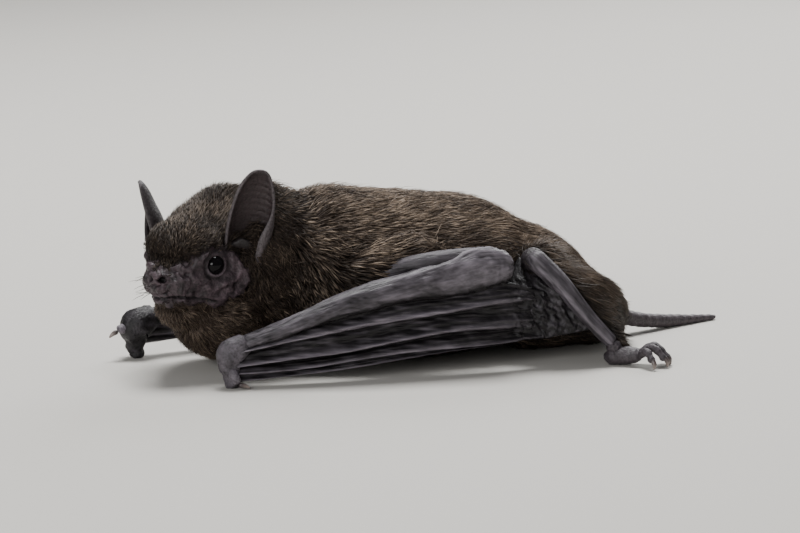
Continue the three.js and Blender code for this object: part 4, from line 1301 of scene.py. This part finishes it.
class BAT_OT_skin(bpy.types.Operator):
    """Builds one skin for the whole body: head, ears, trunk, wings, legs and tail"""

    bl_idname = "bat.skin"
    bl_label = "Add skin"

    def execute(self, context):
        grids = [head_skin(), trunk_skin(), tail_skin()]
        for name in ("left", "right"):
            wing, leg = WINGS[name], LEGS[name]
            grids += [ear_skin(name), tragus_skin(name)]
            grids += [upper_arm_skin(wing), forearm_skin(wing), wrist_skin(wing), thumb_skin(wing), hand_skin(wing)]
            grids += [side_membrane_skin(wing, leg), thigh_skin(leg), shin_skin(leg), tail_membrane_skin(leg)]
            grids += foot_skins(leg)
        points, quads, tris, tints, grains = joined(grids)
        skin = add_mesh("skin", points, quads, tris, bat_skin_material())
        paint(skin, "tint", tints)
        layer = skin.data.attributes.new("grain", "FLOAT_VECTOR", "POINT")
        layer.data.foreach_set("vector", grains.astype(np.float32).ravel())
        flesh = [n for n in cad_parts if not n.startswith("eye") and "claw" not in n]
        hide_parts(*flesh)
        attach(skin, "root")
        return {"FINISHED"}


class BAT_OT_eyes(bpy.types.Operator):
    """Adds the two eyeballs"""

    bl_idname = "bat.eyes"
    bl_label = "Add eyes"

    def execute(self, context):
        material = eye_material()
        for name, side in (("left", -1), ("right", 1)):
            centre, axis = eye_axis(side)
            rings, sides = 40, 56
            v = np.linspace(0, math.pi, rings)[:, None]
            u = 2 * math.pi * np.arange(sides)[None, :] / sides
            ball = np.stack([np.cos(v) + 0 * u, np.sin(v) * np.cos(u), np.sin(v) * np.sin(u)], -1) * EYE_RADIUS
            points, quads, tris, *_ = joined([(from_head(ball + centre), np.zeros(3))])
            eye = add_mesh(f"eyeball_{name}", points, quads, tris, material)
            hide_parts(f"eye_{name}")
            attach(eye, "root")
        return {"FINISHED"}


class BAT_OT_claws(bpy.types.Operator):
    """Adds the claws of the thumbs and toes"""

    bl_idname = "bat.claws"
    bl_label = "Add claws"

    def execute(self, context):
        material = claw_material()
        for name in ("left", "right"):
            wing, leg = WINGS[name], LEGS[name]
            thumbs = [claw(*wing["claw"], (0, 0, 0.1))]
            nails = []
            for shape in TOES:
                _, _, root, _, point = toe_joints(leg, *shape)
                hook = unit((root - np.array(leg["ankle"])) * (1, 1, 0)) * 0.15
                nails.append(claw(root, point, hook))
            for label, grids, nodes in (
                (f"thumb_nail_{name}", thumbs, [f"thumb_claw_{name}"]),
                (f"toe_nails_{name}", nails, [f"claw_{i}_{name}" for i in range(1, 6)]),
            ):
                points, quads, tris, tints, _ = joined(grids)
                obj = add_mesh(label, points, quads, tris, material)
                paint(obj, "tint", tints)
                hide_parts(*nodes)
                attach(obj, "root")
        return {"FINISHED"}


def on_head(points):
    """1 ahead of the plane where the head's coat hands over to the neck's, 0 behind it."""
    return (ahead_of_neck(points) > 0).astype(float)


def head_density(points):
    """How thickly wisps grow on the head: none on the bare face, and thickest just round it."""
    cover = furred(points)
    return on_head(points) * np.clip(cover * 1.3, 0, 1) * (1.6 - 0.6 * cover)


def body_density(points):
    """How thickly wisps grow on the neck and trunk: even, and none on the floor or at the tail's root."""
    return (1 - on_head(points)) * smooth(0.15, 0.5, points[..., 2]) * smooth(27, 20, points[..., 0])


class BAT_OT_coat(bpy.types.Operator):
    """Covers the head, neck, trunk, thighs and tail membrane with tufts of hair"""

    bl_idname = "bat.coat"
    bl_label = "Add coat"

    def execute(self, context):
        settings = context.scene.bat_coat
        material = bat_hair_material()
        head = Patch(head_skin()[0], (0.66, 0.02), (0.32, 0.96))
        trunk = Patch(trunk_skin()[0], (0.02, 0.02), (0.6, 0.7))
        plans = [
            ("head", head, settings.head_tufts, settings.head_width, HEAD_WISP, 0.7, head_density),
            ("body", trunk, settings.body_tufts, settings.body_width, BODY_WISP, 1.5, body_density),
        ]
        for label, patch, count, width, rings, clump, density in plans:
            roots, normals, unwrap = patch.roots(count, density, 7)
            order = np.random.default_rng(9).permutation(count)
            wide = lambda p: width * (0.45 + 0.55 * furred(p))
            for i in range(math.ceil(count / MOST_IN_PIECE)):
                part = order[i * MOST_IN_PIECE : (i + 1) * MOST_IN_PIECE]
                made = tufts(roots[part], normals[part], unwrap[part], wide, rings, 1000, clump)
                obj = add_coat(f"coat_{label}_{i + 1}", made, material)
                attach(obj, "root")
        for name, low in (("left", 0.02), ("right", 0.34)):
            leg = LEGS[name]
            outside = unit(np.array([0.5, leg["side"] * 0.7, 0.5]))
            membrane = Patch(tail_membrane_skin(leg)[0], (low, 0.75), (0.2, 0.22))
            thigh = Patch(thigh_skin(leg)[0], (low + 0.22, 0.75), (0.08, 0.22))
            from_knee = lambda p: smooth(1.2, 2.6, np.linalg.norm(p - np.array(leg["knee"]), axis=-1))
            thin = lambda p: settings.body_width * 0.7 + 0 * p[..., 0]
            plans = [
                ("tail_membrane", membrane, settings.membrane_tufts, outside),  # its upper face alone
                ("thigh", thigh, settings.thigh_tufts, np.zeros(3)),
            ]
            for label, patch, count, facing in plans:
                roots, normals, unwrap = patch.roots(count, from_knee, 8)
                seen = normals @ facing >= 0.1 * facing.any()
                made = tufts(roots[seen], normals[seen], unwrap[seen], thin, HEAD_WISP, 1200, 1.0, flat=True)
                obj = add_coat(f"coat_{label}_{name}", made, material)
                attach(obj, "root")
        return {"FINISHED"}


class BAT_OT_whiskers(bpy.types.Operator):
    """Adds the fine bristles that stand out round the nose and the lips"""

    bl_idname = "bat.whiskers"
    bl_label = "Add whiskers"

    def execute(self, context):
        rng = np.random.default_rng(17)
        grids = []
        for i in range(context.scene.bat_coat.whiskers):
            side = 1 if i % 2 else -1
            root = np.array([rng.uniform(-8.6, -7.2), side * rng.uniform(0.6, 1.7), rng.uniform(-2.4, 0.1)])
            out = unit(np.array([-0.75, side * rng.uniform(0.5, 1.1), rng.uniform(-0.4, 0.35)]))
            long = rng.uniform(1.1, 1.9)
            path = from_head([root, root + out * long * 0.5, root + out * long + (0.15, 0, -0.12)])
            grid, _, _ = limb(list(zip(path, (0.03, 0.024, 0.008))), rings=8, sides=5)
            grids.append((grid, np.broadcast_to(COLOUR["hair_root"], grid.shape)))
        points, quads, tris, tints, _ = joined(grids)
        obj = add_mesh("whiskers", points, quads, tris, bat_hair_material())
        paint(obj, "hair", tints)
        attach(obj, "root")
        return {"FINISHED"}


FLOOR_HALF = 2.0  # metres
FLOOR_DROP = 0.02 * MM  # so that the floor doesn't flicker through the pads that rest on it
# Each light: name, place in metres, size in metres, share of the setting's watts.
LIGHTS = [
    ("key", (0.02, 0.12, 0.42), 0.18, 1.95),  # nearly overhead
    ("fill", (-0.34, -0.36, 0.17), 0.2, 1.0),  # low, before the head
    ("rim", (0.28, 0.36, 0.24), 0.25, 0.9),  # behind the back and rump
]
SKY_STRENGTH = 0.28
SENSOR = 36.0  # millimetres
AIM_LIGHTS, AIM_CAMERA = (0, 0, 0.008), (0.0004, -0.0018, 0.009)  # metres


class BAT_OT_stage(bpy.types.Operator):
    """Adds a floor, soft studio lights and the camera"""

    bl_idname = "bat.stage"
    bl_label = "Set the stage"

    def execute(self, context):
        settings = context.scene.bat_stage
        scene = context.scene
        corners = [(x * FLOOR_HALF, y * FLOOR_HALF, 0) for x, y in ((-1, -1), (1, -1), (1, 1), (-1, 1))]
        mesh = bpy.data.meshes.new("floor")
        mesh.from_pydata(corners, [], [(0, 1, 2, 3)])
        mesh.materials.append(floor_material())
        floor = bpy.data.objects.new("floor", mesh)
        floor.location.z = -FLOOR_DROP
        scene.collection.objects.link(floor)
        for name, at, wide, share in LIGHTS:
            data = bpy.data.lights.new(name, "AREA")
            data.size, data.energy = wide, settings.key_watts * share
            lamp = bpy.data.objects.new(name, data)
            lamp.location = at
            lamp.rotation_mode = "QUATERNION"
            lamp.rotation_quaternion = (Vector(AIM_LIGHTS) - Vector(at)).to_track_quat("-Z", "Y")
            scene.collection.objects.link(lamp)
        world = bpy.data.worlds.new("studio")
        world.use_nodes = True
        background = world.node_tree.nodes["Background"]
        background.inputs["Color"].default_value = (*COLOUR["sky"], 1)
        background.inputs["Strength"].default_value = SKY_STRENGTH
        scene.world = world
        a, e = math.radians(settings.azimuth), math.radians(settings.elevation)
        back = Vector((math.sin(a) * math.cos(e), -math.cos(a) * math.cos(e), math.sin(e)))
        data = bpy.data.cameras.new("camera")
        data.lens, data.sensor_width = settings.lens, SENSOR
        data.clip_start, data.clip_end = 0.01, 20.0
        camera = bpy.data.objects.new("camera", data)
        camera.location = Vector(AIM_CAMERA) + back * settings.distance
        camera.rotation_mode = "QUATERNION"
        camera.rotation_quaternion = (-back).to_track_quat("-Z", "Y")
        scene.collection.objects.link(camera)
        scene.camera = camera
        return {"FINISHED"}


class BAT_PT_panel(bpy.types.Panel):
    """The bat's settings and the buttons that build it"""

    bl_idname = "BAT_PT_panel"
    bl_label = "Small vesper bat"
    bl_space_type = "VIEW_3D"
    bl_region_type = "UI"
    bl_category = "Bat"

    def draw(self, context):
        layout = self.layout
        for group in (context.scene.bat_coat, context.scene.bat_stage):
            box = layout.box()
            for name in group.__annotations__:
                box.prop(group, name)
        for operator in OPERATORS:
            layout.operator(operator.bl_idname)


OPERATORS = (BAT_OT_skin, BAT_OT_eyes, BAT_OT_claws, BAT_OT_coat, BAT_OT_whiskers, BAT_OT_stage)
CLASSES = (BatCoatSettings, BatStageSettings, *OPERATORS, BAT_PT_panel)


def register():
    for cls in CLASSES:
        bpy.utils.register_class(cls)
    bpy.types.Scene.bat_coat = bpy.props.PointerProperty(type=BatCoatSettings)
    bpy.types.Scene.bat_stage = bpy.props.PointerProperty(type=BatStageSettings)


def unregister():
    del bpy.types.Scene.bat_coat
    del bpy.types.Scene.bat_stage
    for cls in reversed(CLASSES):
        bpy.utils.unregister_class(cls)


def main():
    """Builds the bat and its stage."""
    register()
    bpy.ops.bat.skin()
    bpy.ops.bat.eyes()
    bpy.ops.bat.claws()
    bpy.ops.bat.coat()
    bpy.ops.bat.whiskers()
    bpy.ops.bat.stage()


if __name__ == "__main__":
    main()
